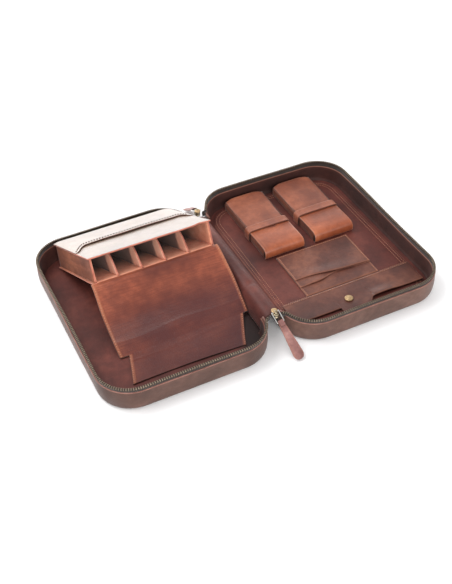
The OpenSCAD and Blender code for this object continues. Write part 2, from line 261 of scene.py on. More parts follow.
M = {
    "outer": leather("outer_leather", (72, 48, 40), (94, 65, 55), (118, 86, 74),
                     (140, 96, 80), patch=13, rough=(0.42, 0.6), bump=0.36, gloss=0.35),
    "lining": leather("lining_leather", (60, 26, 22), (92, 43, 36), (118, 60, 49),
                      (170, 100, 78), patch=9, rough=(0.42, 0.6), bump=0.22, gloss=0.3),
    # the lining leather made darker all over: painted shade on the walls' inner faces
    "inner": leather("shaded_lining_leather", (44, 24, 21), (64, 35, 30), (84, 48, 41),
                     (176, 116, 98), patch=9, rough=(0.5, 0.65), bump=0.2, gloss=0.25),
    # its shade colour is the purple-brown of the flap's painted shade
    "flap": leather("flap_leather", (92, 40, 28), (146, 74, 50), (182, 102, 68),
                    (186, 112, 78), patch=9, rough=(0.29, 0.44), bump=0.38, streak=0.5,
                    coat=0.05, gloss=0.36, shade_colour=(66, 25, 28)),
    # pale greyish leather: partly the roof's own colour, partly painted sheen
    "roof": leather("roof_leather_and_painted_sheen", (108, 84, 66), (136, 110, 90), (160, 134, 112),
                    (196, 132, 108), patch=8, rough=(0.26, 0.4), bump=0.06, coat=1.0,
                    gloss=0.8),
    "wall": leather("tray_leather", (96, 50, 32), (136, 76, 52), (170, 102, 72),
                    (210, 128, 98), patch=14, rough=(0.34, 0.5), bump=0.28, gloss=0.4),
    "pouch": leather("pouch_leather", (108, 54, 36), (142, 78, 53), (166, 98, 70),
                     (196, 126, 92), patch=15, rough=(0.34, 0.5), bump=0.26, gloss=0.4),
    "leaf": leather("leaf_leather", (112, 52, 28), (150, 76, 44), (178, 98, 62),
                    (206, 128, 88), patch=12, rough=(0.3, 0.44), bump=0.22, coat=0.05),
    "pocket": leather("pocket_leather", (66, 33, 26), (92, 50, 39), (124, 74, 56),
                      (176, 112, 82), patch=14, rough=(0.36, 0.52), bump=0.26, gloss=0.4),
    "pull": leather("pull_leather", (108, 70, 66), (144, 100, 94), (172, 130, 122),
                    (200, 146, 130), patch=30, rough=(0.4, 0.55), bump=0.26, gloss=0.35),
    "raw": raw_edge("raw_leather", (214, 132, 100), (240, 166, 132), (250, 192, 160)),
    # the flesh-side leather made paler than the floor's: partly its own colour, partly painted light
    # on the dividers' lit faces
    "divider": raw_edge("lit_divider_leather", (236, 164, 134), (254, 194, 164), (255, 212, 188)),
    "edge": raw_edge("cut_edge", (166, 92, 74), (198, 118, 98), (216, 142, 120)),
    "piping": raw_edge("piping_leather", (116, 74, 64), (150, 104, 92), (176, 132, 118)),
    "dark_edge": raw_edge("dark_cut_edge", (78, 44, 34), (110, 66, 52), (140, 90, 72)),
    "tape": tape_cloth("zip_tape"),
    "teeth": metal("zip_teeth", (102, 89, 76), (156, 140, 122), 0.4, 0.75),
    "slider": metal("slider_metal", (128, 114, 92), (176, 164, 140), 0.32, 0.6),
    "wire": metal("wire", (206, 204, 200), (236, 234, 230), 0.16, 0.15),
    "brass": metal("snap_brass", (172, 140, 100), (208, 180, 140), 0.4, 0.5),
    "card": card("board"),
    "thread": thread("thread_tan", (168, 104, 74), (200, 138, 104)),
    "thread_dark": thread("thread_brown", (62, 34, 27), (94, 58, 45)),
}


# ---------------------------------------------------------------- mesh tools

def add(name, data):
    o = bpy.data.objects.new(name, data)
    bpy.context.scene.collection.objects.link(o)
    return o


def make(name, verts, faces, mats, which=None, attrs=None, sharp=None):
    """A mesh object from millimetres. which: material index per face; attrs: values per vertex."""
    me = bpy.data.meshes.new(name)
    me.from_pydata([tuple(np.array(v, float) * MM) for v in verts], [],
                   [tuple(int(i) for i in f) for f in faces])
    for m in mats:
        me.materials.append(m)
    me.polygons.foreach_set("use_smooth", [True] * len(me.polygons))
    if which is not None:
        me.polygons.foreach_set("material_index", [int(w) for w in which])
    base = {"hem": np.zeros(len(verts)), "shade": np.zeros(len(verts))}
    for k, v in {**base, **(attrs or {})}.items():
        v = np.asarray(v, np.float32)
        kind = "FLOAT_VECTOR" if v.ndim == 2 else "FLOAT"
        a = me.attributes.new(k, kind, "POINT")
        a.data.foreach_set("vector" if v.ndim == 2 else "value", v.ravel())
    if sharp:
        pairs = {tuple(sorted(p)) for p in sharp}
        flags = me.attributes.new("sharp_edge", "BOOLEAN", "EDGE")
        flags.data.foreach_set("value", [tuple(sorted(e.vertices)) in pairs for e in me.edges])
    me.validate()
    return add(name, me)


def place(o, body, slot, *nodes):
    if nodes:
        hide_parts(*nodes)
    if isinstance(body, str):
        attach(o, body)
    else:
        a, b, s, e = body
        Vector(s) * MM
        Vector(e) * MM
        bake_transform(o)
    return o


def grid(fn, us, vs):
    """The points fn(u, v) as an array of rows."""
    return np.array([[fn(u, v) for v in vs] for u in us], float)


def tube_faces(n, k, side=1):
    """Quads between n rings of k points and a cap at each end; side -1 turns them over."""
    faces = [(i * k + j, i * k + (j + 1) % k, (i + 1) * k + (j + 1) % k, (i + 1) * k + j)
             for i in range(n - 1) for j in range(k)]
    faces += [tuple(range(k - 1, -1, -1)), tuple((n - 1) * k + j for j in range(k))]
    return faces if side > 0 else [f[::-1] for f in faces]


def grid_normals(g):
    du = np.gradient(g, axis=0)
    dv = np.gradient(g, axis=1)
    n = np.cross(du, dv)
    return n / np.maximum(np.linalg.norm(n, axis=2, keepdims=True), 1e-9)


EDGE_UPPER = 0.28       # how far down the thickness a sheet's edge is at its widest


def sheet(name, pts, t, mats, body, slot, nodes=(), hem=None, shade=None, seams="",
          edge_r=0.45, flip=False):
    """A leather sheet: pts is its top face as a grid (nu, nv, 3) in mm, t its thickness downward.
    seams names edges that go on in the next piece and so stay square: any of u0 u1 v0 v1."""
    g = np.asarray(pts, float)
    nu, nv = g.shape[:2]
    n = grid_normals(g) * (-1 if flip else 1)

    def ring(a):
        return np.concatenate([a[:-1, 0], a[-1, :-1], a[:0:-1, -1], a[0, :0:-1]])

    inner = g.copy()
    for key, sl, nb in (("u0", (0, slice(None)), (1, slice(None))),
                        ("u1", (-1, slice(None)), (-2, slice(None))),
                        ("v0", (slice(None), 0), (slice(None), 1)),
                        ("v1", (slice(None), -1), (slice(None), -2))):
        if key in seams:
            continue
        d = g[nb] - g[sl]
        inner[sl] += d / np.maximum(np.linalg.norm(d, axis=-1, keepdims=True), 1e-9) * edge_r
    top, bot = inner, inner - n * t
    mid1 = ring(g - n * t * EDGE_UPPER)
    mid2 = ring(g - n * t * (1 - EDGE_UPPER))
    idx = np.arange(nu * nv).reshape(nu, nv)
    m = nu * nv
    r_top = ring(idx[..., None])[:, 0]
    k = len(r_top)
    r_bot = r_top + m
    i1 = np.arange(k) + 2 * m
    i2 = i1 + k
    verts = np.concatenate([top.reshape(-1, 3), bot.reshape(-1, 3), mid1, mid2])
    faces, which = [], []
    for i in range(nu - 1):
        for j in range(nv - 1):
            q = (idx[i, j], idx[i + 1, j], idx[i + 1, j + 1], idx[i, j + 1])
            faces += [q, tuple(x + m for x in q[::-1])]
            which += [0, 0]
    for a, b in ((r_top, i1), (i1, i2), (i2, r_bot)):
        for i in range(k):
            j = (i + 1) % k
            faces.append((a[i], b[i], b[j], a[j]))
            which.append(len(mats) - 1)
    if flip:
        faces = [f[::-1] for f in faces]
    attrs = {}
    for key, val in (("hem", hem), ("shade", shade)):
        if val is not None:
            v = np.asarray(val, float).reshape(nu, nv)
            attrs[key] = np.concatenate([v.ravel(), v.ravel(), ring(v[..., None])[:, 0],
                                         ring(v[..., None])[:, 0]])
    lines = []
    for key, line in (("u0", idx[0]), ("u1", idx[-1]), ("v0", idx[:, 0]), ("v1", idx[:, -1])):
        if key in seams:
            for o in (0, m):
                lines += [(int(line[i] + o), int(line[i + 1] + o)) for i in range(len(line) - 1)]
    o = make(name, verts, faces, mats, which, attrs, lines)
    return place(o, body, slot, *nodes)


# a stitch's rings: place along it, radius, height; the last two as shares of its radius
SPINDLE = ((0, 0.25, -0.2), (0.3, 0.9, 0.56), (0.7, 0.9, 0.56), (1, 0.25, -0.2))
STITCH_SIDES = 6


def stitches(name, runs, body, slot, mat="thread", pitch=3.6, length=2.5, r=0.34):
    """Small spindles along polylines. runs: list of (points, up) in mm."""
    verts, faces = [], []
    one = tube_faces(len(SPINDLE), STITCH_SIDES)
    for pts, up in runs:
        pts = np.asarray(pts, float)
        seg = np.linalg.norm(np.diff(pts, axis=0), axis=1)
        s = np.concatenate([[0], np.cumsum(seg)])
        ups = np.broadcast_to(np.asarray(up, float), pts.shape)
        for c in np.arange(pitch / 2, s[-1] - pitch / 4, pitch):
            a, b = [np.array([np.interp(c + d, s, pts[:, i]) for i in range(3)])
                    for d in (-length / 2, length / 2)]
            w = np.array([np.interp(c, s, ups[:, i]) for i in range(3)])
            w /= np.linalg.norm(w)
            along = (b - a) / max(np.linalg.norm(b - a), 1e-9)
            side = np.cross(along, w)
            faces += [tuple(len(verts) + i for i in f) for f in one]
            for f, radius, height in SPINDLE:
                p = a + (b - a) * f + w * height * r
                for ang in np.arange(STITCH_SIDES) * 2 * math.pi / STITCH_SIDES:
                    verts.append(p + (side * math.cos(ang) + w * math.sin(ang)) * r * radius)
    return place(make(name, verts, faces, [M[mat]]), body, slot)


def smooth(t):
    """0 to 1 with a soft start and end."""
    t = np.clip(t, 0, 1)
    return t * t * (3 - 2 * t)


def bump_at(x, centre, width):
    """1 at the centre, fading to 0 on both sides."""
    return np.exp(-((x - centre) / width) ** 2)


def curve(points, n):
    """A smooth curve through points, cut into n evenly spaced ones, by Catmull-Rom."""
    p = np.asarray(points, float)
    p = np.concatenate([[2 * p[0] - p[1]], p, [2 * p[-1] - p[-2]]])
    out = []
    for i in range(1, len(p) - 2):
        for t in np.linspace(0, 1, 24, endpoint=False):
            a, b, c, d = p[i - 1:i + 3]
            out.append(b + 0.5 * t * (c - a + t * (2 * a - 5 * b + 4 * c - d
                                                   + t * (3 * (b - c) + d - a))))
    out.append(p[-2])
    out = np.array(out)
    s = np.concatenate([[0], np.cumsum(np.linalg.norm(np.diff(out, axis=0), axis=1))])
    q = np.linspace(0, s[-1], n)
    return np.stack([np.interp(q, s, out[:, a]) for a in range(out.shape[1])], 1)


# ---------------------------------------------------------------- sizes from the frame

CASE_LO, CASE_HI = box("right_gusset")
SPINE_X, OUTER_X, HALF_D = CASE_LO.x, CASE_HI.x, CASE_HI.y
RIM_Z = box("right_zip_tape")[1].z
FLOOR_Z = box("left_lining")[1].z
PANEL_Z = box("right_panel")[1].z
SLIDER_Y = -box("front_slider")[0].y - 6
CORNER = 49.0           # the case's corner radius
PANEL_IN = 13.0         # the lid's panel stands this far in from the wall
UP = (0, 0, 1)


# ---------------------------------------------------------------- the two case halves

ZIP_X = 8.0             # where the zip's rows end beside the spine
ZIP_BEND_X = 14.0       # the control point of the bend that leads them there
ZIP_BACK = 10.0         # how far behind the corner's centre they end
ZIP_TURN = 200          # degrees round the corner at which the bend begins
ARC_STEPS = 40
BEND_STEPS = 12
# how far the tape and the walls wave along the rim, and where the wave starts
TAPE_WOBBLE, TAPE_PHASE = 0.55, 0.8
WALL_WOBBLE, WALL_PHASE = 0.5, 1.7


def on_arc(x, y, r, degrees):
    return np.array([x + r * math.cos(math.radians(degrees)),
                     y + r * math.sin(math.radians(degrees))])


def rim_path(step, zip_ends=False):
    """The wall's outline in the lid half, from the spine's front end round to its rear end:
    its points, their outward normals and how far along it they are."""
    ax, bx, cy = SPINE_X + CORNER, OUTER_X - CORNER, HALF_D - CORNER
    first = ZIP_TURN if zip_ends else 180
    pts = []
    if zip_ends:
        a = np.array([ZIP_X, -cy - ZIP_BACK])
        b = on_arc(ax, -cy, CORNER, ZIP_TURN)
        c = np.array([ZIP_BEND_X, -cy - ZIP_BACK])
        pts += [a * (1 - t) ** 2 + c * 2 * t * (1 - t) + b * t * t
                for t in np.linspace(0, 0.97, BEND_STEPS)]
    for x, y, a0, a1 in ((ax, -cy, first, 270), (bx, -cy, 270, 360), (bx, cy, 0, 90),
                         (ax, cy, 90, 360 - first)):
        pts += [on_arc(x, y, CORNER, a) for a in np.linspace(a0, a1, ARC_STEPS)]
    if zip_ends:
        pts += [p * np.array([1, -1]) for p in pts[:BEND_STEPS][::-1]]
    pts = np.array(pts)
    s = np.concatenate([[0], np.cumsum(np.linalg.norm(np.diff(pts, axis=0), axis=1))])
    q = np.linspace(0, s[-1], max(2, int(round(s[-1] / step)) + 1))
    p = np.stack([np.interp(q, s, pts[:, k]) for k in (0, 1)], 1)
    d = np.gradient(p, axis=0)
    d /= np.linalg.norm(d, axis=1, keepdims=True)
    return p, np.stack([d[:, 1], -d[:, 0]], 1), q


def rim_wave(q, phase):
    """The slow wave in walls and tape, q along the rim."""
    return math.sin(q / 37 + phase) + 0.6 * math.sin(q / 83 + 2 * phase)


def swept(name, side, profile, step, mats, body, slot, nodes=(), zip_ends=False,
          wobble=0.0, phase=0.0, hem=None):
    """A closed profile of (outward, z) carried along the wall of one half."""
    p, n, q = rim_path(step, zip_ends)
    heights = [z for _, z in profile]
    lo, hi = min(heights), max(heights)
    verts, st, hems = [], [], []
    for i in range(len(p)):
        for o, z in profile:
            w = wobble * (z - lo) / (hi - lo) * rim_wave(q[i], phase)
            xy = p[i] + n[i] * (o + w)
            verts.append((side * xy[0], xy[1], z + 0.35 * w))
            st.append((q[i] * MM, z * MM, o * MM))
            hems.append(hem(z) if hem else 0)
    faces = tube_faces(len(p), len(profile), side)
    o = make(name, verts, faces, mats, None, {"st": np.array(st), "hem": np.array(hems)})
    return place(o, body, slot, *nodes)


SIDE_STEPS = 12         # points along an outline's straight side, so that the surface can undulate


def outline(inset, side, n_arc=14, reach=0.0):
    """A half's outline, drawn in, as a closed loop; reach takes it back out beside the spine."""
    r = max(CORNER - inset, 1.0)
    deeper = max(inset - (CORNER - 1), 0.0)
    ax, bx, cy = SPINE_X + CORNER + deeper, OUTER_X - CORNER - deeper, HALF_D - CORNER - deeper
    pts = [on_arc(x, y, r, a) for x, y, a0 in ((ax, -cy, 180), (bx, -cy, 270), (bx, cy, 0),
                                               (ax, cy, 90))
           for a in np.linspace(a0, a0 + 90, n_arc)]
    full = []
    for i, p in enumerate(pts):
        q = pts[(i + 1) % len(pts)]
        m = SIDE_STEPS if (i + 1) % n_arc == 0 else 1
        full += [p + (q - p) * t / m for t in range(m)]
    full = np.array(full)
    beside = smooth((SPINE_X + 22 - full[:, 0]) / 12) * smooth((124 - np.abs(full[:, 1])) / 8)
    full[:, 0] -= reach * beside
    full[:, 0] *= side
    return full


def plate(name, side, insets, height, z_low, body, slot, nodes=(), mat="lining", hem=None,
          shade=None, reach=0.0):
    """A rounded plate: height(x, y) is its top; insets are its rings from the edge inward."""
    rings = [outline(d, side, reach=reach * max(0, 1 - (d - insets[0]) / 8)) for d in insets]
    low = outline(insets[0] + 0.4, side, reach=reach)
    verts = [(x, y, z_low) for x, y in low] + [(x, y, z_low + 0.35) for x, y in rings[0]]
    for i, ring in enumerate(rings):
        drop = 0 if i else 0.5
        verts += [(x, y, height(x, y) - drop) for x, y in ring]
    attrs = {"hem": [hem(x, y) if hem else 0 for x, y, _ in verts],
             "shade": [shade(x, y) if shade else 0 for x, y, _ in verts]}
    o = make(name, verts, tube_faces(len(rings) + 2, len(low), side), [M[mat]], None, attrs)
    cut_caps(o)
    return place(o, body, slot, *nodes)


def cut_caps(o):
    """Cuts the many-sided caps into triangles, so that they shade evenly."""
    bm = bmesh.new()
    bm.from_mesh(o.data)
    bmesh.ops.triangulate(bm, faces=[f for f in bm.faces if len(f.verts) > 4])
    bm.to_mesh(o.data)
    bm.free()
    o.data.polygons.foreach_set("use_smooth", [True] * len(o.data.polygons))


# a tooth's sections from its foot up: half length along the zip, half width across, height
TOOTH = ((0.62, 1.5, -1.6), (0.78, 1.75, -0.9), (0.80, 1.75, 0.3), (0.62, 1.35, 0.8))
TOOTH_PITCH = 3.2
TOOTH_IN = 1.3          # from the rim's line in to the row's middle
TOOTH_DOWN = 1.0        # from the tape's top down to the tooth's middle


def teeth(name, side, body, node):
    p, n, q = rim_path(1.0, True)
    shape = [v for s, o, z in TOOTH for v in ((-s, -o, z), (s, -o, z), (s, o, z), (-s, o, z))]
    one = tube_faces(len(TOOTH), 4, side)
    verts, faces = [], []
    for c in np.arange(4.0, q[-1] - 4.0, TOOTH_PITCH):
        pos = np.array([np.interp(c, q, p[:, k]) for k in (0, 1)])
        out = np.array([np.interp(c, q, n[:, k]) for k in (0, 1)])
        out /= np.linalg.norm(out)
        along = np.array([-out[1], out[0]])
        w = TAPE_WOBBLE * rim_wave(c, TAPE_PHASE)
        faces += [tuple(len(verts) + i for i in f) for f in one]
        for s, o, z in shape:
            xy = pos + along * s + out * (o - TOOTH_IN + w)
            verts.append((side * xy[0], xy[1], RIM_Z - TOOTH_DOWN + z + 0.2 * w))
    o = make(name, verts, faces, [M["teeth"]])
    o.data.polygons.foreach_set("use_smooth", [False] * len(o.data.polygons))
    place(o, body, "zip_teeth", node)


# each profile runs round the wall's section as (outward from the rim's line, height)
OUTER_PROFILE = [(-14, 0.2), (-6, 0.05), (-3.0, 0.35), (-1.2, 1.3), (-0.2, 3.2), (0.6, 7),
                 (1.1, 12), (1.3, 17), (1.1, 22), (0.6, 26.5), (0.1, 29.6), (-0.1, 30.7),
                 (-0.5, 31.4), (-1.2, 31.5), (-1.6, 31.0), (-1.8, 27), (-2.2, 16), (-2.4, 8),
                 (-4, 3.6), (-14, 2.0)]
INNER_PROFILE = [(-2.2, 29.2), (-2.3, 29.9), (-2.8, 30.1), (-3.1, 29.5), (-3.2, 28.7), (-3.5, 25),
                 (-3.9, 17), (-4.4, 10), (-5.6, 5.6), (-7.6, 4.3), (-7.6, 3.6), (-3.0, 3.6),
                 (-2.6, 10), (-2.4, 24)]
PIPING_PROFILE = [(-0.2, 31.0), (0.5, 30.9), (0.95, 31.3), (1.0, 31.9), (0.6, 32.3),
                  (-0.3, 32.4), (-0.9, 32.2), (-0.9, 31.4)]
TAPE_PROFILE = [(-0.75, 31.0), (-0.5, 32.6), (-0.55, 35), (-0.75, 37.2), (-1.1, 38.0),
                (-1.7, 38.0), (-2.1, 37.2), (-2.2, 35), (-2.25, 32), (-2.5, 29.6),
                (-2.45, 28.4), (-1.9, 28.4), (-1.85, 30.8)]


def case_half(side, half, body):
    wall = {"wobble": WALL_WOBBLE, "phase": WALL_PHASE * side}
    swept(half + "_wall_leather", side, OUTER_PROFILE, 4.0, [M["outer"]], body, "outer_leather",
          (half + "_gusset",), hem=lambda z: 0.35 * bump_at(z, 31, 1.2), **wall)
    # the wall lining's darker leather is painted shade
    swept(half + "_wall_lining", side, INNER_PROFILE, 4.0, [M["inner"]], body, "lining_leather",
          hem=lambda z: 0.9 * bump_at(z, 29.9, 0.75), **wall)
    swept(half + "_piping_cord", side, PIPING_PROFILE, 3.0, [M["piping"]], body, "piping",
          (half + "_piping",), **wall)
    swept(half + "_tape_cloth", side, TAPE_PROFILE, 2.0, [M["tape"]], body, "zip_tape",
          (half + "_zip_tape",), zip_ends=True, wobble=TAPE_WOBBLE, phase=TAPE_PHASE)
    teeth(half + "_teeth_row", side, body, half + "_zip_teeth")
    plate(half + "_cover_leather", side, (3.2, 4.2, 8, 20, 40, 70), lambda x, y: 1.9, 0.1, body,
          "outer_leather", (half + "_cover",), mat="outer", reach=2.2)
    repaint(half + "_board", "card")


def repaint(node, mat):
    """A CAD piece that is seen as it is, in its own material."""
    mats = frame["nodes"][node].data.materials
    mats.clear()
    mats.append(M[mat])


case_half(-1, "left", "left_half")
case_half(1, "right", "lid_half")

LINING_LOW = 3.3        # the linings' underside
SHADOW_X, SHADOW_REAR, SHADOW_FRONT = -56, -58, -152   # the painted shadow beside the flap's tongue


def left_floor(x, y):
    edge = min(abs(abs(x) - SPINE_X), abs(abs(x) - OUTER_X), abs(HALF_D - abs(y)))
    wave = 0.16 * math.sin(x / 31) * math.sin(y / 43 + 1) + 0.1 * math.sin(x / 13 + y / 19)
    return FLOOR_Z + wave * min(1, edge / 30)


def left_shade(x, y):
    along = smooth((SHADOW_REAR - y) / 14) * smooth((y - SHADOW_FRONT) / 12)
    return 0.92 * smooth((x - SHADOW_X) / 12) * along


plate("left_lining_skin", -1, (3.6, 4.4, 7, 11, 16, 22, 30, 40, 52, 66, 82, 98), left_floor,
      LINING_LOW, "left_half", "lining_leather", ("left_lining",), shade=left_shade, reach=2.4)
plate("right_lining_skin", 1, (3.6, 4.4, 8, 14, 24, 40, 70), lambda x, y: FLOOR_Z - 0.05,
      LINING_LOW, "lid_half", "lining_leather", ("right_lining",), reach=2.4)

GROOVES = (4.2, 9.0)    # the two stitched lines' distance from the panel's edge
GROOVE_INSETS = (16, 17.0, 18.2, 20, 21.4, 22.6, 24)


def from_panel_edge(x, y):
    return min(x - SPINE_X - PANEL_IN, OUTER_X - PANEL_IN - x, HALF_D - PANEL_IN - abs(y))


def panel_top(x, y):
    d = from_panel_edge(x, y)
    inner = max(d, 0)
    crown = 0.8 * (1 - math.exp(-inner / 9))
    wave = 0.22 * math.sin(x / 27 + 1) * math.sin(y / 35)
    groove = -0.35 * sum(bump_at(d, g, 0.9) for g in GROOVES)
    return PANEL_Z - 0.75 + crown + (wave + groove) * min(1, inner / 3)


plate("right_panel_skin", 1,
      (PANEL_IN, 13.5, 14.6) + GROOVE_INSETS + (28, 36, 48, 62, 80, 98), panel_top,
      FLOOR_Z - 0.05, "lid_half", "lining_leather", ("right_panel",),
      hem=lambda x, y: 0.55 if from_panel_edge(x, y) < 0.9 else 0.0)


def panel_line(groove):
    pts = outline(PANEL_IN + groove, 1)
    pts = np.concatenate([pts, pts[:1]])
    return np.array([(x, y, panel_top(x, y) + 0.15) for x, y in pts]), UP


stitches("panel_stitching", [panel_line(g) for g in GROOVES], "lid_half", "lining_leather",
         pitch=3.8)

# ---------------------------------------------------------------- spine

SPINE_HALF = box("spine_leather")[1].y + 3
FOLD_X, FOLD_Z = 14.5, 30       # the edges on either side of the case's fold
TUCK_Y = -50                    # where the spine's skin is tucked in a little


def mirrored(points):
    """Outline points from the left foot to the middle, then back down on the right."""
    return list(points) + [(-x, z) for x, z in points[-2::-1]]


def spine_skin(name, profile, t, mat, slot, node, tuck_depth):
    def point(q, y):
        x, z = q
        f = max(0.0, 1 - abs(x) / 14)
        up = 0.9 * math.sin(y / 41 + 0.5) + 0.5 * math.sin(y / 17)
        tuck = tuck_depth * bump_at(y, TUCK_Y, 3.5)
        return x + 0.6 * math.sin(y / 29 + 2) * f, y, z + (up * 0.6 - tuck) * f

    g = grid(point, curve(profile, 41), np.linspace(-SPINE_HALF, SPINE_HALF, 60))
    sheet(name, g, t, [mat], ("left_half", "lid_half", (-FOLD_X, 0, FOLD_Z), (FOLD_X, 0, FOLD_Z)),
          slot, (node,))


LINING_ARCH = mirrored([(-15.2, 4.7), (-15.0, 12), (-14.4, 20), (-12.2, 27), (-7.4, 32.4),
                        (0, 34.6)])
LINING_ARCH[-1] = (15.2, 6.4)   # its right foot stops higher, on the lid's panel
LEATHER_ARCH = mirrored([(-13.4, 1.0), (-13.6, 9), (-13.2, 19), (-11.0, 25.8), (-6.6, 30.9),
                         (0, 32.9)])
spine_skin("spine_lining_skin", LINING_ARCH, 1.1, M["lining"], "lining_leather",
           "spine_lining", 1.6)
spine_skin("spine_leather_skin", LEATHER_ARCH, 1.7, M["outer"], "outer_leather",
           "spine_leather", 1.2)

# ---------------------------------------------------------------- zip sliders and pulls


def loft(name, rings, mat):
    """A closed solid through rings of equal length, each a list of points in mm."""
    return make(name, [p for r in rings for p in r], tube_faces(len(rings), len(rings[0])),
                [M[mat]])


def stadium(cx, cy, z, rx, ry, n=28, power=3.2):
    """A level ring, from round at power 2 to nearly square at a high one."""
    out = []
    for a in range(n):
        t = 2 * math.pi * a / n
        c, s = math.cos(t), math.sin(t)
        out.append((cx + rx * math.copysign(abs(c) ** (2 / power), c),
                    cy + ry * math.copysign(abs(s) ** (2 / power), s), z))
    return out


def turned(name, cx, cy, levels, n=32):
    """A round solid, levels being its (height, radius) pairs."""
    return loft(name, [stadium(cx, cy, z, r, r, n, 2.0) for z, r in levels], "brass")


SLIDER_H, SLIDER_RX, SLIDER_RY = 6.5, 3.7, 6.0
# the slider's sections from its foot up: height and size as shares of the whole
SLIDER_STEPS = ((0, 0.80), (0.05, 0.94), (0.16, 1.0), (0.34, 1.0), (0.38, 0.86), (0.60, 0.86),
                (0.64, 1.0), (0.86, 1.0), (0.95, 0.94), (1.0, 0.80))
# the puck's height above the slider's top, and its radius
CROWN = ((-0.2, 3.4), (0.5, 4.3), (1.6, 4.6), (2.5, 4.2), (2.9, 3.3), (2.75, 2.4), (2.9, 1.2))
BRIDGE_REACH, BRIDGE_RISE = 3.1, 3.3
BRIDGE_RX, BRIDGE_RN = 1.7, 0.62


def slider(end, word):
    y = end * SLIDER_Y
    z0 = box(word + "_slider")[0].z
    z1 = z0 + SLIDER_H
    rings = [stadium(0, y, z0 + SLIDER_H * f, SLIDER_RX * r, SLIDER_RY * r)
             for f, r in SLIDER_STEPS]
    place(loft(word + "_slider_body", rings, "slider"), "left_half", "slider_metal",
          word + "_slider")
    # the puck on the slider's crown, just behind the loop's bridge
    place(turned(word + "_slider_crown", 0, y - end * 2.4, [(z1 + h, r) for h, r in CROWN]),
          "left_half", "slider_metal")
    # the bridge that holds the wire loop
    rings = []
    for a in np.linspace(0, math.pi, 13):
        c = np.array([0, y + end * 0.4 - BRIDGE_REACH * math.cos(a),
                      z1 - 0.3 + BRIDGE_RISE * math.sin(a)])
        n = np.array([0, -math.cos(a), math.sin(a)])
        rings.append([tuple(c + np.array([BRIDGE_RX * math.cos(t), 0, 0])
                            + n * BRIDGE_RN * math.sin(t))
                      for t in 2 * math.pi * np.arange(10) / 10])
    place(loft(word + "_slider_bridge", rings, "slider"), "left_half", "slider_metal")


PULL_START, PULL_END = 13.4, 71.6       # along the pull, from the wire's hinge
PULL_NECK, PULL_ROUND = 4.0, 8.0        # half its width by the wire, and its round end's radius
PULL_YAW, PULL_DROP = 8, 33             # how it lies in the photographed pose, in degrees
PULL_CURL = 1.2
# the pull's upper face from side to side: place across, height; padded between two seams
PULL_SIDE = ((-1, 0), (-0.96, 0.75), (-0.80, 0.82), (-0.74, 0.70), (-0.66, 0.92), (-0.3, 1.08))
PULL_FACE = PULL_SIDE + ((0, 1.12),) + tuple((-f, g) for f, g in PULL_SIDE[::-1])
TAB_LENGTH, TAB_HALF_W = 9.2, 3.9


def pull(end, word):
    """The leather pull, in its own axes: d runs down it from the wire, w across, h up."""
    yaw = math.radians(PULL_YAW if end < 0 else 180 - PULL_YAW)
    origin = JOINT[word + "_pull_swing"]
    rot = Matrix.Rotation(yaw, 3, "Z") @ Matrix.Rotation(math.radians(PULL_DROP), 3, "X")
    up = tuple(rot @ Vector(UP))
    body = word + "_pull"
    round_at = PULL_END - PULL_ROUND

    def at(d, w, h):
        return tuple(origin + rot @ Vector((w, -d, h)))

    def share(d):
        return (d - PULL_START) / (PULL_END - PULL_START)

    def half_width(d):
        if d <= round_at:
            return PULL_NECK + (PULL_ROUND - PULL_NECK) * min(
                1, (d - PULL_START) / (round_at - PULL_START))
        return math.sqrt(max(PULL_ROUND ** 2 - (d - round_at) ** 2, 0.01))

    rings = []
    for d in np.concatenate([np.linspace(PULL_START, round_at, 22),
                             round_at + PULL_ROUND * np.sin(np.linspace(0.12, 1.5, 12))]):
        edge = min(1.0, (d - PULL_START) / 1.5 + 0.55, (PULL_END - d) / 1.5 + 0.45)
        pad = edge * (0.45 * math.sin(math.pi * share(d)) + 1.35)
        under = [(f, -g) for f, g in PULL_FACE[-2:0:-1]]
        rings.append([at(d, f * half_width(d), g * pad - PULL_CURL * share(d) ** 2)
                      for f, g in PULL_FACE + tuple(under)])
    o = loft(body + "_leather", rings, "pull")
    tan = {0: 0.75, 12: 0.75, 1: 0.35, 11: 0.35, 13: 0.35, 23: 0.35}
    o.data.attributes["hem"].data.foreach_set(
        "value", [tan.get(i % len(rings[0]), 0.0) for i in range(len(o.data.vertices))])
    place(o, body, "pull_leather", body)
    runs = [([at(d, s * half_width(d) * 0.76, 1.15 - PULL_CURL * share(d) ** 2)
              for d in np.linspace(PULL_START + 7, PULL_END - 3, 30)], up) for s in (-1, 1)]
    runs.append(([at(PULL_START + 6.5, w, 1.35) for w in np.linspace(-3.0, 3.0, 6)], up))
    stitches(body + "_stitching", runs, body, "pull_leather", pitch=2.6, length=1.8, r=0.26)
    repaint(word + "_wire_loop", "wire")

    # the tab turned over the wire
    def tab(f, w):
        return at(PULL_START - 0.6 + TAB_LENGTH * f, w * TAB_HALF_W,
                  2.15 - 0.5 * abs(w) ** 4 - 0.4 * f)

    sheet(body + "_tab", grid(tab, np.linspace(0, 1, 9), np.linspace(-1, 1, 9)), 0.9,
          [M["pull"], M["dark_edge"]], body, "pull_leather", flip=True)


for end, word in ((-1, "front"), (1, "rear")):
    slider(end, word)
    pull(end, word)

# ---------------------------------------------------------------- watch tray

TILT = math.radians(24.3)       # how far the tray is propped up
TRAY_W, TRAY_D, TRAY_H = 178.5, 130.0, 36.4
SKEW = 18.0                     # how far its front stands to the right of its back
FLOOR_T = 2.0
BACK_LEAN = 6.0
CELLS = 5
PIVOT = JOINT["tray_lower"]
TRAY_X = box("tray_base")[0].x
TRAY_UP = (0, math.sin(TILT), math.cos(TILT))
LIT = TRAY_D - 29               # light falls into the cells from here forward


def tray(x, u, v):
    """A point in the tray's own axes: x across, u forward from its back, v up from its base."""
    return (TRAY_X + x + SKEW * u / TRAY_D,
            PIVOT.y - u * math.cos(TILT) + v * math.sin(TILT),
            PIVOT.z + u * math.sin(TILT) + v * math.cos(TILT))


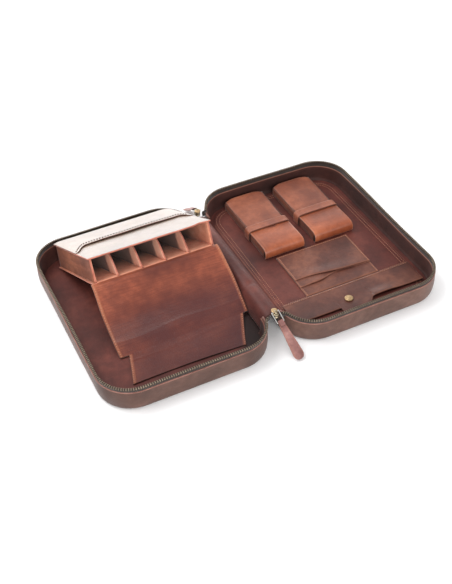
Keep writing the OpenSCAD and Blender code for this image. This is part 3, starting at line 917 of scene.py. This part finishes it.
def tray_sheet(name, fn, nu, nv, t, mats, slot, nodes=(), shade=None, hem=None, **kw):
    """A sheet of the tray: fn(a, b) gives its face in the tray's axes, a and b from 0 to 1;
    shade(a, b) and hem(a, b) are its attributes."""
    us, vs = np.linspace(0, 1, nu), np.linspace(0, 1, nv)
    kw.update({key: grid(f, us, vs) for key, f in (("shade", shade), ("hem", hem)) if f})
    return sheet(name, grid(lambda a, b: tray(*fn(a, b)), us, vs), t, [M[m] for m in mats],
                 "tray", slot, nodes, **kw)


def waist(b):
    """The crease half way up a side wall."""
    return bump_at(b, 0.52, 0.07)


def side_wall(word, x, out):
    def fn(a, b):
        bow = 1.0 * math.sin(math.pi * a) * math.sin(math.pi * b)
        crease = 0.7 * waist(b) * math.sin(math.pi * a) ** 0.5
        rear = BACK_LEAN * b
        return x + out * (bow - crease), rear + a * (TRAY_D - rear), 1.6 + b * (TRAY_H - 1.7)
    tray_sheet(f"tray_{word}_side", fn, 24, 15, 2.0, ("wall", "edge"), "tray_leather",
               (f"tray_{word}_wall",), flip=out > 0,
               hem=lambda a, b: 0.25 * bump_at(b, 0.52, 0.05))


def back_fn(a, b):
    dish = 0.8 * math.sin(math.pi * a) * math.sin(math.pi * b)
    return 2 + a * (TRAY_W - 4), 0.3 + BACK_LEAN * b - dish, 1.6 + b * (TRAY_H - 1.7)


side_wall("left", 0.0, -1)
side_wall("right", TRAY_W, 1)
tray_sheet("tray_back_side", back_fn, 30, 9, 1.8, ("wall", "edge"), "tray_leather",
           ("tray_back_wall",), flip=True)
# painted shade: the floor darkens towards the back of the cells
tray_sheet("tray_floor", lambda a, b: (a * TRAY_W, b * (TRAY_D + 2), FLOOR_T), 36, 24, 1.9,
           ("raw", "edge"), "raw_leather", ("tray_base",), flip=True,
           shade=lambda a, b: 0.84 * (1 - smooth((b - 0.4) / 0.3)))

# the tan facings inside the two side walls, darkened towards the back as painted shade
for word, x, out in (("left", 2.6, 1), ("right", TRAY_W - 2.6, -1)):
    tray_sheet(f"tray_{word}_facing",
               lambda a, b: (x, 3 + a * (TRAY_D - 3.2), 2.0 + b * (TRAY_H - 2.4)), 20, 8, 0.5,
               ("raw", "raw"), "raw_leather", flip=out > 0, edge_r=0.1,
               shade=lambda a, b: 0.75 * (1 - smooth((a - 0.34) / 0.4)))

ROOF_OVER = 2.4                 # how far the roof stands out past the side walls
ROOF_V = TRAY_H + 1.7
BAND_D = 65.0
BAND_OVER = 2.6
BAND_V = TRAY_H + 2.2


def roof_front(a):
    """How far the roof's front edge stands forward, wavy, with its right tip pointed."""
    return (TRAY_D + 1.0 + 0.5 * math.sin(a * 9.5 + 0.6) * smooth((a - 0.55) / 0.3)
            + 0.9 * smooth((a - 0.955) / 0.045) - 3.0 * bump_at(a, 0.91, 0.03)
            + 0.4 * smooth((0.06 - a) / 0.03))


def roof_rear(a):
    return BACK_LEAN - 1.0 + 2.0 * smooth((a - 0.93) / 0.07)


def roof_fn(a, b):
    sag = -0.225 * math.sin(math.pi * a) * smooth((b - 0.3) / 0.5)
    ripple = 0.22 * math.sin(a * 14 + 1.0) * smooth((b - 0.75) / 0.25) * smooth((a - 0.5) / 0.4)
    rear = roof_rear(a)
    return (-ROOF_OVER + a * (TRAY_W + 2 * ROOF_OVER), rear + b * (roof_front(a) - rear),
            ROOF_V + sag + ripple)


def band_front(a):
    """The band's mouth: straight across, its two ends bending forward."""
    return (BAND_D + 26 * smooth((0.15 - a) / 0.15) ** 1.3 + 16 * smooth((a - 0.92) / 0.08)
            + 0.8 * math.sin(a * 17))


def band_fn(a, b):
    rear = roof_rear(a) - 0.2
    ends = smooth(min(a, 1 - a) / 0.05)
    gape = 0.9 * math.sin(math.pi * a) * smooth((b - 0.6) / 0.4)
    fold = 0.35 * math.sin(a * 23 + 3 * b) * math.sin(math.pi * b) * ends
    return (-BAND_OVER + a * (TRAY_W + 2 * BAND_OVER), rear + b * (band_front(a) - rear),
            BAND_V + 1.4 * ends + gape + fold)


def band_stitch(a):
    x, u, v = band_fn(a, 1.0)
    return tray(x, u - 6.4, v + 0.12)


tray_sheet("tray_roof_skin", roof_fn, 61, 34, 2.0, ("roof", "edge"), "tray_leather",
           ("tray_roof",), edge_r=0.5, flip=True)
tray_sheet("tray_band_skin", band_fn, 61, 22, 1.3, ("roof", "dark_edge"), "tray_leather",
           ("tray_band",), edge_r=0.4, flip=True)
stitches("tray_band_stitching",
         [([band_stitch(a) for a in np.linspace(0.015, 0.985, 80)], TRAY_UP)], "tray",
         "tray_leather", "thread_dark", pitch=4.2, length=2.9, r=0.62)

PITCH = (TRAY_W - FLOOR_T) / CELLS


def divider(i):
    def fn(a, b):
        # a runs from the base up, b from the back to the rounded front
        front = TRAY_D - 30 + 29.6 * math.sqrt(max(0.0, 1 - a ** 2.3))
        bow = 1.5 * math.sin(math.pi * a) * smooth((b - 0.5) / 0.5)
        return i * PITCH - bow, 2.2 + b * (front - 2.2), 1.9 + a * (TRAY_H - 2.1)
    tray_sheet(f"tray_leaf_{i}", fn, 16, 30, 2.0, ("divider", "edge"), "raw_leather",
               (f"tray_divider_{i}",), edge_r=0.6,
               shade=lambda a, b: 0.86 * (1 - smooth((fn(a, b)[1] - LIT) / 5)))


for i in range(1, CELLS):
    divider(i)


def flange_fn(a, b):
    """The edge of the base that shows along the tray's left side."""
    return 1.5 - b * (4.5 + 2.0 * a), 2 + a * (TRAY_D + 2.5), FLOOR_T + 0.5 - 0.5 * b ** 2


def flange_stitch(a):
    x, u, v = flange_fn(a, 0.62)
    return tray(x, u, v + 0.15)


tray_sheet("tray_flange", flange_fn, 30, 6, 1.0, ("wall", "edge"), "tray_leather", flip=True,
           hem=lambda a, b: 0.5 * (b > 0.7))
stitches("tray_flange_stitching",
         [([flange_stitch(a) for a in np.linspace(0.03, 0.97, 40)], TRAY_UP)], "tray",
         "tray_leather")


def foot_stitch(i):
    """A short dark run on the base, in front of each divider and wall."""
    x = min(max(FLOOR_T / 2 + i * PITCH - 1, 1.2), TRAY_W - 1.2)
    return [tray(x + d, TRAY_D + 1.0, FLOOR_T + 0.1) for d in (-2.4, 2.4)], TRAY_UP


stitches("tray_foot_stitching", [foot_stitch(i) for i in range(CELLS + 1)], "tray",
         "raw_leather", "thread_dark", pitch=4.2, length=2.8, r=0.42)

# ---------------------------------------------------------------- flap

ROOT = JOINT["flap_settle"]
CLOSE = JOINT["flap_close"]
BEND = JOINT["flap_roof_bend"]
TIP = JOINT["tongue_bend"]
FLAP_LO, FLAP_HI = box("flap_front")
TONGUE_L = TIP.y - box("flap_tongue")[0].y
FLAP_T = 1.7
CURVE_N = 120
# the flap's run at its left and at its right side, as (y, height)
FLAP_LEFT = curve([(ROOT.y + 1.2, ROOT.z + 0.9), (CLOSE.y, ROOT.z + 0.9), (2, 57.4),
                   (-11, 50.2), (-25, 42.8), (-38, 34.4), (-50, 24.0), (-62, 13.4),
                   (TIP.y, 6.8)], CURVE_N)
FLAP_RIGHT = curve([(ROOT.y + 1.2, ROOT.z + 0.9), (CLOSE.y, ROOT.z + 0.9), (2, 57.2),
                    (-12, 50.3), (-28, 42.8), (-44, 32.8), (-58, 23.0), (-68, 16.2),
                    (TIP.y, 10.6)], CURVE_N)
TONGUE_X = (-193.5, -23.5)      # its sides where it leaves the flap
TONGUE_TURN = (-14.5, -22.0)    # how far they move to the left by its end
TONGUE_Z = 6.6
LEFT_OUT, RIGHT_OUT = 3.0, 1.3  # how far the flap's two sides bulge
HEM_W = 4.0


def along(side, l):
    """The point at l, 0 to 1, down one side's run."""
    return np.array([np.interp(l, np.linspace(0, 1, CURVE_N), side[:, i]) for i in (0, 1)])


def right_flare(l):
    """How the right side's bulge grows and fades down the flap."""
    return float(np.interp(l, (0, 0.06, 0.16, 0.3, 0.5, 0.7, 0.9, 1.0),
                           (0.3, 0.4, 0.7, 0.9, 1.0, 1.0, 0.9, 0.6)))


def flap_sides(k):
    """The left and right sides; k is 0 on the flap, and 0 to 1 down the tongue."""
    if k <= 0:
        return FLAP_LO.x, FLAP_HI.x
    return tuple(x + turn * k for x, turn in zip(TONGUE_X, TONGUE_TURN))


def from_side(f, k):
    left, right = flap_sides(k)
    return min(f, 1 - f) * (right - left)


def flap_point(f, l, k=0.0):
    """f runs across from the left side, l along the flap, k on down the tongue."""
    left, right = flap_sides(k)
    x = left + (right - left) * f
    across = (x - FLAP_LO.x) / (FLAP_HI.x - FLAP_LO.x)
    w = smooth((across - 0.25) / 0.75)
    y, z = along(FLAP_LEFT, l) * (1 - w) + along(FLAP_RIGHT, l) * w
    lift = 0.5 * math.sin(across * 5.5 + 0.8) * bump_at(l, 0.62, 0.24)
    lift -= 0.35 * bump_at(l, 0.80 + 0.02 * math.sin(across * 9), 0.014)
    lift += 0.15 * (1 - smooth((from_side(f, k) - HEM_W - 0.2) / 0.8))
    if k <= 0:
        bulge = RIGHT_OUT * smooth((across - 0.7) / 0.3) * right_flare(l)
        x += bulge - LEFT_OUT * bump_at(l, 0.5, 0.35) * (1 - f)
    else:
        y += 2.2 * math.sin(across * 4 + 0.4) * smooth((k - 0.8) / 0.2) - k * TONGUE_L
        z = TONGUE_Z + (z - TONGUE_Z) * (1 - smooth(k / 0.75)) - 0.4 * smooth(k)
        z += 0.55 * math.sin(across * 11 + 2 * k) * smooth(k / 0.3) * (1 - 0.5 * k)
        z -= 0.5 * bump_at(k, 0.2 + 0.03 * math.sin(across * 7), 0.03)
    return np.array([x, y, z + lift])


def flap_hem(f, l, k=0.0):
    e = from_side(f, k)
    h = 0.7 * (1 - smooth((e - HEM_W) / 1.0)) - 0.3 * bump_at(e, HEM_W + 0.8, 0.5)
    return max(h, 0.0) + 0.25 * (1 - smooth((l - 0.015) / 0.02))


# the flap's columns, closer together in the hems; all its stretches share them, so they meet
HEM_COLS = np.array([0, 0.004, 0.012, 0.019, 0.0225, 0.026, 0.034, 0.05])
F_COLS = np.unique(np.concatenate([HEM_COLS, np.linspace(0.06, 0.94, 88), 1 - HEM_COLS]))
STITCH_F = 0.0115               # where across the flap its seams run


def length_at(y):
    """Where along the flap its middle line reaches y."""
    ls = np.linspace(0, 1, 200)
    ys = np.array([flap_point(0.5, l)[1] for l in ls])
    return float(np.interp(-y, -ys, ls))


def flap_seam(f, spots):
    """A seam's points, just above the leather, and the leather's upward direction there."""
    line = np.array([flap_point(f, l, k) for l, k in spots])
    up = np.cross(np.gradient(line, axis=0), (-1, 0, 0))
    up /= np.linalg.norm(up, axis=1, keepdims=True)
    up *= np.sign(up[:, 2:3] + 1e-9)
    return line + up * 0.12, up


def flap_piece(name, spots, hinge, nodes, seams):
    """One stretch of the flap's skin; spots are its rows as (l, k)."""
    hem = np.array([[flap_hem(f, l, k) for f in F_COLS] for l, k in spots])
    # painted shade: stronger down the flap's steep lower part and on the tongue, a little stronger
    # towards its right side, less on the hems
    low = np.array([[smooth((l - 0.3) / 0.42) * 0.8 + 0.12 * smooth(k)] for l, k in spots])
    side = np.clip((F_COLS - 0.05) / 0.9, 0, 1)[None, :]
    sheet(name, [[flap_point(f, l, k) for f in F_COLS] for l, k in spots], FLAP_T,
          [M["flap"], M["dark_edge"]], hinge, "flap_leather", nodes, hem=hem,
          shade=low * (0.7 + 0.3 * side) * (1 - 0.6 * hem), seams=seams)
    parts = [[s for s in spots if s[1] <= 0], [s for s in spots if s[1] > 0.01]]
    stitches(name + "_stitching", [flap_seam(f, part) for part in parts if len(part) > 1
                                   for f in (STITCH_F, 1 - STITCH_F)],
             hinge, "flap_leather", pitch=3.8, length=2.7, r=0.45)


def across_joint(upper, lower, joint, before, after):
    """The bodies on either side of one joint, and its points before it and after it along the flap.
    """
    return (upper, lower, (ROOT.x, joint.y + before, joint.z), (ROOT.x, joint.y - after, joint.z))


L_FRONT = length_at((CLOSE.y + BEND.y) / 2)
L_TOP = length_at((BEND.y + TIP.y) / 2)
flap_piece("flap_skin_front", [(l, 0.0) for l in np.linspace(0.0, L_FRONT, 30)],
           across_joint("flap_root", "flap_front", CLOSE, 4.5, 6), ("flap_welt", "flap_front"), "u1")
flap_piece("flap_skin_middle", [(l, 0.0) for l in np.linspace(L_FRONT, L_TOP, 46)],
           across_joint("flap_front", "flap_top", BEND, 5, 5), ("flap_top",), "u0u1")
flap_piece("flap_skin_end", [(l, 0.0) for l in np.linspace(L_TOP, 1.0, 26)]
           + [(1.0, k) for k in [0.008] + list(np.linspace(0.03, 1, 34))],
           across_joint("flap_top", "flap_tongue", TIP, 7, 7), ("flap_tongue",), "u0")

# ---------------------------------------------------------------- pouches

POUCH_Y = 12.0                  # the pouches' front
POUCH_WALLS = 3                 # folded layers in each side wall
POUCH_CORNER = 9.0
LEAF_ROW = 14                   # the row of the flap's profile where its leaf starts


def pouch_sheet(name, g, t, nodes=(), hinge="lid_half", mat="pouch", **more):
    sheet(name, g, t, [M[mat], M["dark_edge"]], hinge, "pouch_leather", nodes, **more)


def pouch(i):
    body_lo, body_hi = box(f"pouch_{i}_body")
    strap_lo, strap_hi = box(f"pouch_{i}_strap")
    x0, x1 = body_lo.x, body_hi.x
    cx, w = (x0 + x1) / 2, x1 - x0
    rear, front, top = body_hi.y, POUCH_Y, body_hi.z + 1.8
    z0 = PANEL_Z
    up_wall = np.linspace(0, 1, 9)

    def wall_z(b):
        return z0 + b * (top - 1.6 - z0)

    # the side walls, each of folded layers, and the rear wall, darkened with painted shade
    for s, word in ((-1, "left"), (1, "right")):
        for k in range(POUCH_WALLS):
            def wall(a, b):
                bulge = 1.3 * math.sin(math.pi * b) * (0.6 + 0.4 * math.sin(a * 7 + k + i))
                return (cx + s * (w / 2 - (1.2 + 1.5 * k) + bulge),
                        front + 5 + k + a * (rear - front - 9 - k), wall_z(b))

            pouch_sheet(f"pouch_{i}_{word}_wall_{k + 1}", grid(wall, np.linspace(0, 1, 26), up_wall),
                        1.1, (f"pouch_{i}_body",) if k == 0 and s < 0 else (),
                        shade=np.full((26, 9), 0.45), flip=s > 0)
    pouch_sheet(f"pouch_{i}_rear_wall",
                grid(lambda x, b: (x, rear - 3.0 + 1.2 * math.sin(math.pi * b), wall_z(b)),
                     np.linspace(x0 + 3, x1 - 3, 20), up_wall),
                1.2, shade=np.full((20, 9), 0.3), flip=True)

    # the top panel: crowned, its rear corners round, its sides turned down a little
    def cover(y, f):
        back = rear + 0.6 - y
        r = POUCH_CORNER
        pull_in = r - math.sqrt(max(r * r - (r - back) ** 2, 0.0)) if back < r else 0.0
        side = 2 * f - 1
        crown = 1.1 * (1 - side ** 4) + 0.35 * math.sin(y / 23 + i) - 2.2 * abs(side) ** 12
        return (cx + side * (w / 2 + 0.7 - pull_in), y,
                top - 0.9 + crown - 1.2 * smooth((6 - back) / 6))

    def cover_hem(y, f):
        return (0.5 * smooth((abs(2 * f - 1) - 0.95) / 0.05)
                + 0.4 * smooth((1.2 - (rear + 0.6 - y)) / 1.2))

    cells = np.linspace(strap_lo.y - 4, rear + 0.6, 34), np.linspace(0, 1, 27)
    pouch_sheet(f"pouch_{i}_cover", grid(cover, *cells), 1.7, (f"pouch_{i}_top",),
                hem=np.clip(grid(cover_hem, *cells), 0, 1), flip=True, edge_r=0.6)

    # the strap, over the top and down both sides; a half profile as (in from its side, height)
    sx0, sx1 = strap_lo.x + 0.6, strap_hi.x - 0.6
    half = [(0.6, z0 + 0.4), (0, z0 + 7), (0.5, top - 2.2), (3.2, top + 0.9), (9, top + 1.9)]
    profile = curve([(sx0 + d, z) for d, z in half] + [(cx, top + 2.3)]
                    + [(sx1 - d, z) for d, z in half[::-1]], 60)
    across = np.linspace(0, 1, 9)
    pouch_sheet(f"pouch_{i}_band",
                grid(lambda p, t: (p[0], strap_lo.y + 0.2 + t * (strap_hi.y - strap_lo.y),
                                   p[1] + 0.45 * (1 - t) ** 3), profile, across),
                1.3, (f"pouch_{i}_strap",), hem=np.tile(0.35 * (across > 0.9), (60, 1)))

    # the flap: from the panel up the front, over a round fold and back under the strap
    fold = JOINT[f"pouch_{i}_open"]
    run = curve([(front + 1.6, z0 + 0.2), (front - 0.4, z0 + 4), (front - 0.7, z0 + 9),
                 (front + 0.6, top - 3.2), (front + 4.0, top - 0.2), (front + 10, top + 1.0),
                 (front + 24, top + 0.9), (front + 38, top + 0.2),
                 (strap_lo.y + 1.5, top + 0.0)], 70)
    fs = np.linspace(0, 1, 25)

    def flap(p, f):
        side = 2 * f - 1
        dip = 0.7 * abs(side) ** 6 * smooth((p[1] - z0) / 8) + 0.4 * bump_at(f * w, 6.0, 0.8)
        return cx + side * (w / 2 + 0.9), p[0], p[1] - dip

    hem = [0.3 * bump_at(f * w, 6.0, 0.9) + 0.5 * (abs(2 * f - 1) > 0.985) for f in fs]
    for part, rows, seam, hinge in (
            ("front", run[:LEAF_ROW + 1], "u1",
             ("lid_half", f"pouch_{i}_fold", (cx, 12.9, z0 - 0.4), (cx, 12.9, z0 + 3.2))),
            ("leaf", run[LEAF_ROW:], "u0",
             (f"pouch_{i}_fold", f"pouch_{i}_leaf", (cx, 10.5, fold.z - 5.5),
              (cx, 19.0, fold.z + 2.0)))):
        pouch_sheet(f"pouch_{i}_flap_{part}", grid(flap, rows, fs), 1.5, (f"pouch_{i}_{part}",),
                    hinge, "leaf", hem=np.tile(hem, (len(rows), 1)), seams=seam, flip=True)

    # the folded leather inside the flap's left end, darkened with painted shade
    for k in range(2):
        pouch_sheet(f"pouch_{i}_fold_layer_{k + 1}",
                    grid(lambda a, b: (x0 + 2.5 + 2.2 * k + math.sin(a * 3),
                                       front + 2.8 + a * 10, z0 + 0.5 + b * (top - 3.4 - z0)),
                         np.linspace(0, 1, 8), np.linspace(0, 1, 6)),
                    0.9, shade=np.full((8, 6), 0.6))


for i in (1, 2):
    pouch(i)

# ---------------------------------------------------------------- pockets

CARD_LO, CARD_HI = box("card_pocket_back")
CARD_W = CARD_HI.x - CARD_LO.x
CARD_TOP = PANEL_Z + 3.75
SEAM_IN = 2.2                   # a seam's distance from the leather's edge


def card_layer(name, node, level, front, gape):
    """One layer of the card pocket; front(f) is its front edge, gape(f) how it stands open."""
    def card_point(t, f):
        y = front(f) + t * (CARD_HI.y - front(f))
        wave = 0.35 * math.sin(f * math.pi) * math.sin(t * math.pi)
        return (CARD_LO.x + f * CARD_W, y,
                PANEL_Z + 0.25 + level + gape(f) * (1 - smooth(t / 0.35)) + wave)

    def card_hem(t, f):
        y = front(f) + t * (CARD_HI.y - front(f))
        return (0.6 * (min(f, 1 - f) * CARD_W < 1.0) + 0.45 * (CARD_HI.y - y < 1.0)
                + 0.4 * (y - front(f) < 0.8))

    cells = np.linspace(0, 1, 24), np.linspace(0, 1, 36)
    sheet(name, grid(card_point, *cells), 1.0, [M["pocket"], M["dark_edge"]], "lid_half",
          "lining_leather", (node,), hem=np.clip(grid(card_hem, *cells), 0, 1), flip=True,
          edge_r=0.35)


def seam_along(x, ys, z):
    return [(x, y, z) for y in ys], UP


card_layer("card_layer_back", "card_pocket_back", 1.0, lambda f: CARD_LO.y, lambda f: 0.0)
card_layer("card_layer_middle", "card_pocket_middle", 2.1,
           lambda f: -66.5 + 7.5 * smooth((f - 0.25) / 0.3) - 4 * smooth((f - 0.6) / 0.4),
           lambda f: 1.5 * math.sin(math.pi * min(1, f * 1.9)) ** 2)
card_layer("card_layer_front", "card_pocket_top", 3.2,
           lambda f: -51.0 - 12.5 * f + 1.4 * math.sin(f * 8),
           lambda f: 2.3 * math.sin(math.pi * f) ** 1.2)
CARD_SIDES = CARD_LO.x + SEAM_IN, CARD_HI.x - SEAM_IN
REAR_SEAM = [(x, CARD_HI.y - SEAM_IN, CARD_TOP)
             for x in np.linspace(CARD_LO.x + 3, CARD_HI.x - 3, 30)]
stitches("card_pocket_stitching",
         [seam_along(x, np.linspace(y, CARD_HI.y - 2, 20), CARD_TOP)
          for x, y in zip(CARD_SIDES, (-48, -60))]
         + [(REAR_SEAM, UP)]
         + [seam_along(x, np.linspace(-84, -69, 8), PANEL_Z + 1.5) for x in CARD_SIDES],
         "lid_half", "lining_leather", pitch=3.4)

POCKET_LO, POCKET_HI = box("pocket_flap")
SNAP_LO, SNAP_HI = box("snap_cap")
SNAP = (SNAP_LO + SNAP_HI) / 2
TAB = (102.5, 140.5)            # the tab's left and right ends
TAB_LONG = 12
TAB_SLOPE = 14                  # how far the tab's right side slopes
POCKET_FRONT = JOINT["pocket_lift"].y - 43
GAPE_X = 174


def pocket_front(x):
    """The flap's front edge, with its tab; the tab's left side is a notch."""
    notch = smooth((x - TAB[0] + 0.6) / 1.2)
    return POCKET_FRONT - TAB_LONG * notch * (1 - smooth((x - TAB[1] - 1) / TAB_SLOPE))


def pocket_point(t, x):
    y = POCKET_HI.y + t * (pocket_front(x) - POCKET_HI.y)
    gape = (2.6 * bump_at(x, GAPE_X, 24) + 0.5) * smooth((t - 0.55) / 0.45)
    dip = 0.5 * bump_at(math.hypot(x - SNAP.x, y - SNAP.y), 7.5, 2.2)
    return x, y, PANEL_Z + 2.9 + gape + 0.3 * math.sin(x / 19) * t - dip


POCKET_XS = np.unique(np.concatenate([np.linspace(POCKET_LO.x, POCKET_HI.x, 70),
                                      np.linspace(TAB[0] - 1.2, TAB[0] + 1.2, 8),
                                      np.linspace(TAB[1], TAB[1] + TAB_SLOPE, 12)]))
POCKET_CELLS = np.linspace(0, 1, 20), POCKET_XS
sheet("pocket_flap_skin", grid(pocket_point, *POCKET_CELLS), 1.4, [M["pocket"], M["dark_edge"]],
      "pocket_flap", "pocket_leather", ("pocket_flap",),
      hem=grid(lambda t, x: 0.45 * (t > 0.985) + 0.3 * (t < 0.02), *POCKET_CELLS), edge_r=0.4)
SEAM_XS = np.linspace(34, 237, 60)
SEAM_Y = POCKET_HI.y + 2.6
stitches("pocket_stitching",
         [([(x, SEAM_Y, panel_top(x, SEAM_Y) + 0.2) for x in SEAM_XS], UP),
          ([(x, POCKET_HI.y - 2.4, PANEL_Z + 3.1) for x in SEAM_XS], UP)],
         "lid_half", "pocket_leather", pitch=3.6)

# the snap's cap and stud, as (height above the panel, radius)
DOME = ((2.6, 2.4), (2.9, 6.0), (3.4, 6.25), (4.2, 6.1), (4.9, 5.2), (5.0, 4.6), (4.75, 4.1),
        (5.1, 3.4), (5.4, 2.0), (5.5, 0.8))
STUD = ((-0.2, 4.8), (0.5, 5.0), (0.75, 4.5), (0.7, 2.6), (1.2, 2.0), (1.7, 1.7), (1.9, 1.0))
place(turned("snap_dome", SNAP.x, SNAP.y, [(PANEL_Z + h, r) for h, r in DOME], 40),
      "pocket_flap", "snap_brass", "snap_cap")
place(turned("snap_post", SNAP.x, SNAP.y, [(PANEL_Z + h, r) for h, r in STUD]),
      "lid_half", "snap_brass", "snap_stud")

# ---------------------------------------------------------------- stage, light and camera

FLOOR_HALF = 6.0                # metres, as is everything from here on
FLOOR_DOWN = 0.0006


def stage():
    me = bpy.data.meshes.new("floor")
    me.from_pydata([(x * FLOOR_HALF, y * FLOOR_HALF, -FLOOR_DOWN)
                    for x, y in ((-1, -1), (1, -1), (1, 1), (-1, 1))], [], [(0, 1, 2, 3)])
    t = Tree("floor")
    n = t.noise(3, 2, 0.5, t.coords())
    me.materials.append(t.done(t.mix(n, lin(250, 250, 250), lin(244, 244, 245)), 0.6))
    add("floor", me)


def area(name, place_at, target, size, power):
    d = bpy.data.lights.new(name, "AREA")
    d.shape = "RECTANGLE"
    d.size, d.size_y = size
    d.energy = power
    o = add(name, d)
    o.location = place_at
    o.rotation_euler = (Vector(target) - Vector(place_at)).to_track_quat("-Z", "Y").to_euler()


stage()
area("key", (-0.9, 0.7, 1.9), (0, 0, 0), (1.6, 1.2), 30)
area("fill", (-0.1, -1.9, 0.95), (0, 0, 0.03), (1.8, 1.0), 26)
area("rear_panel", (0.2, 2.4, 0.55), (0, 0, 0.08), (4.2, 0.9), 38)
world = bpy.data.worlds.new("studio")
world.use_nodes = True
background = world.node_tree.nodes["Background"]
background.inputs["Color"].default_value = (1, 1, 1, 1)
background.inputs["Strength"].default_value = 0.8
bpy.context.scene.world = world
bpy.context.scene.view_settings.view_transform = "Standard"

# the camera of the photo, fitted to the case's straight edges and round corners
CAMERA_AT = (-0.44085, -0.92940, 0.91944)
AZ, EL, ROLL = math.radians(24.692), math.radians(42.492), math.radians(1.910)
look = Vector((math.sin(AZ) * math.cos(EL), math.cos(AZ) * math.cos(EL), -math.sin(EL)))
level = Vector((math.cos(AZ), -math.sin(AZ), 0))
down = look.cross(level)
right = level * math.cos(ROLL) + down * math.sin(ROLL)
below = down * math.cos(ROLL) - level * math.sin(ROLL)
cam_data = bpy.data.cameras.new("camera")
cam_data.lens = 58.56
cam_data.sensor_width = 36
cam = add("camera", cam_data)
turn = Matrix((right, -below, -look)).transposed()
cam.matrix_world = Matrix.Translation(CAMERA_AT) @ turn.to_4x4()
bpy.context.scene.camera = cam
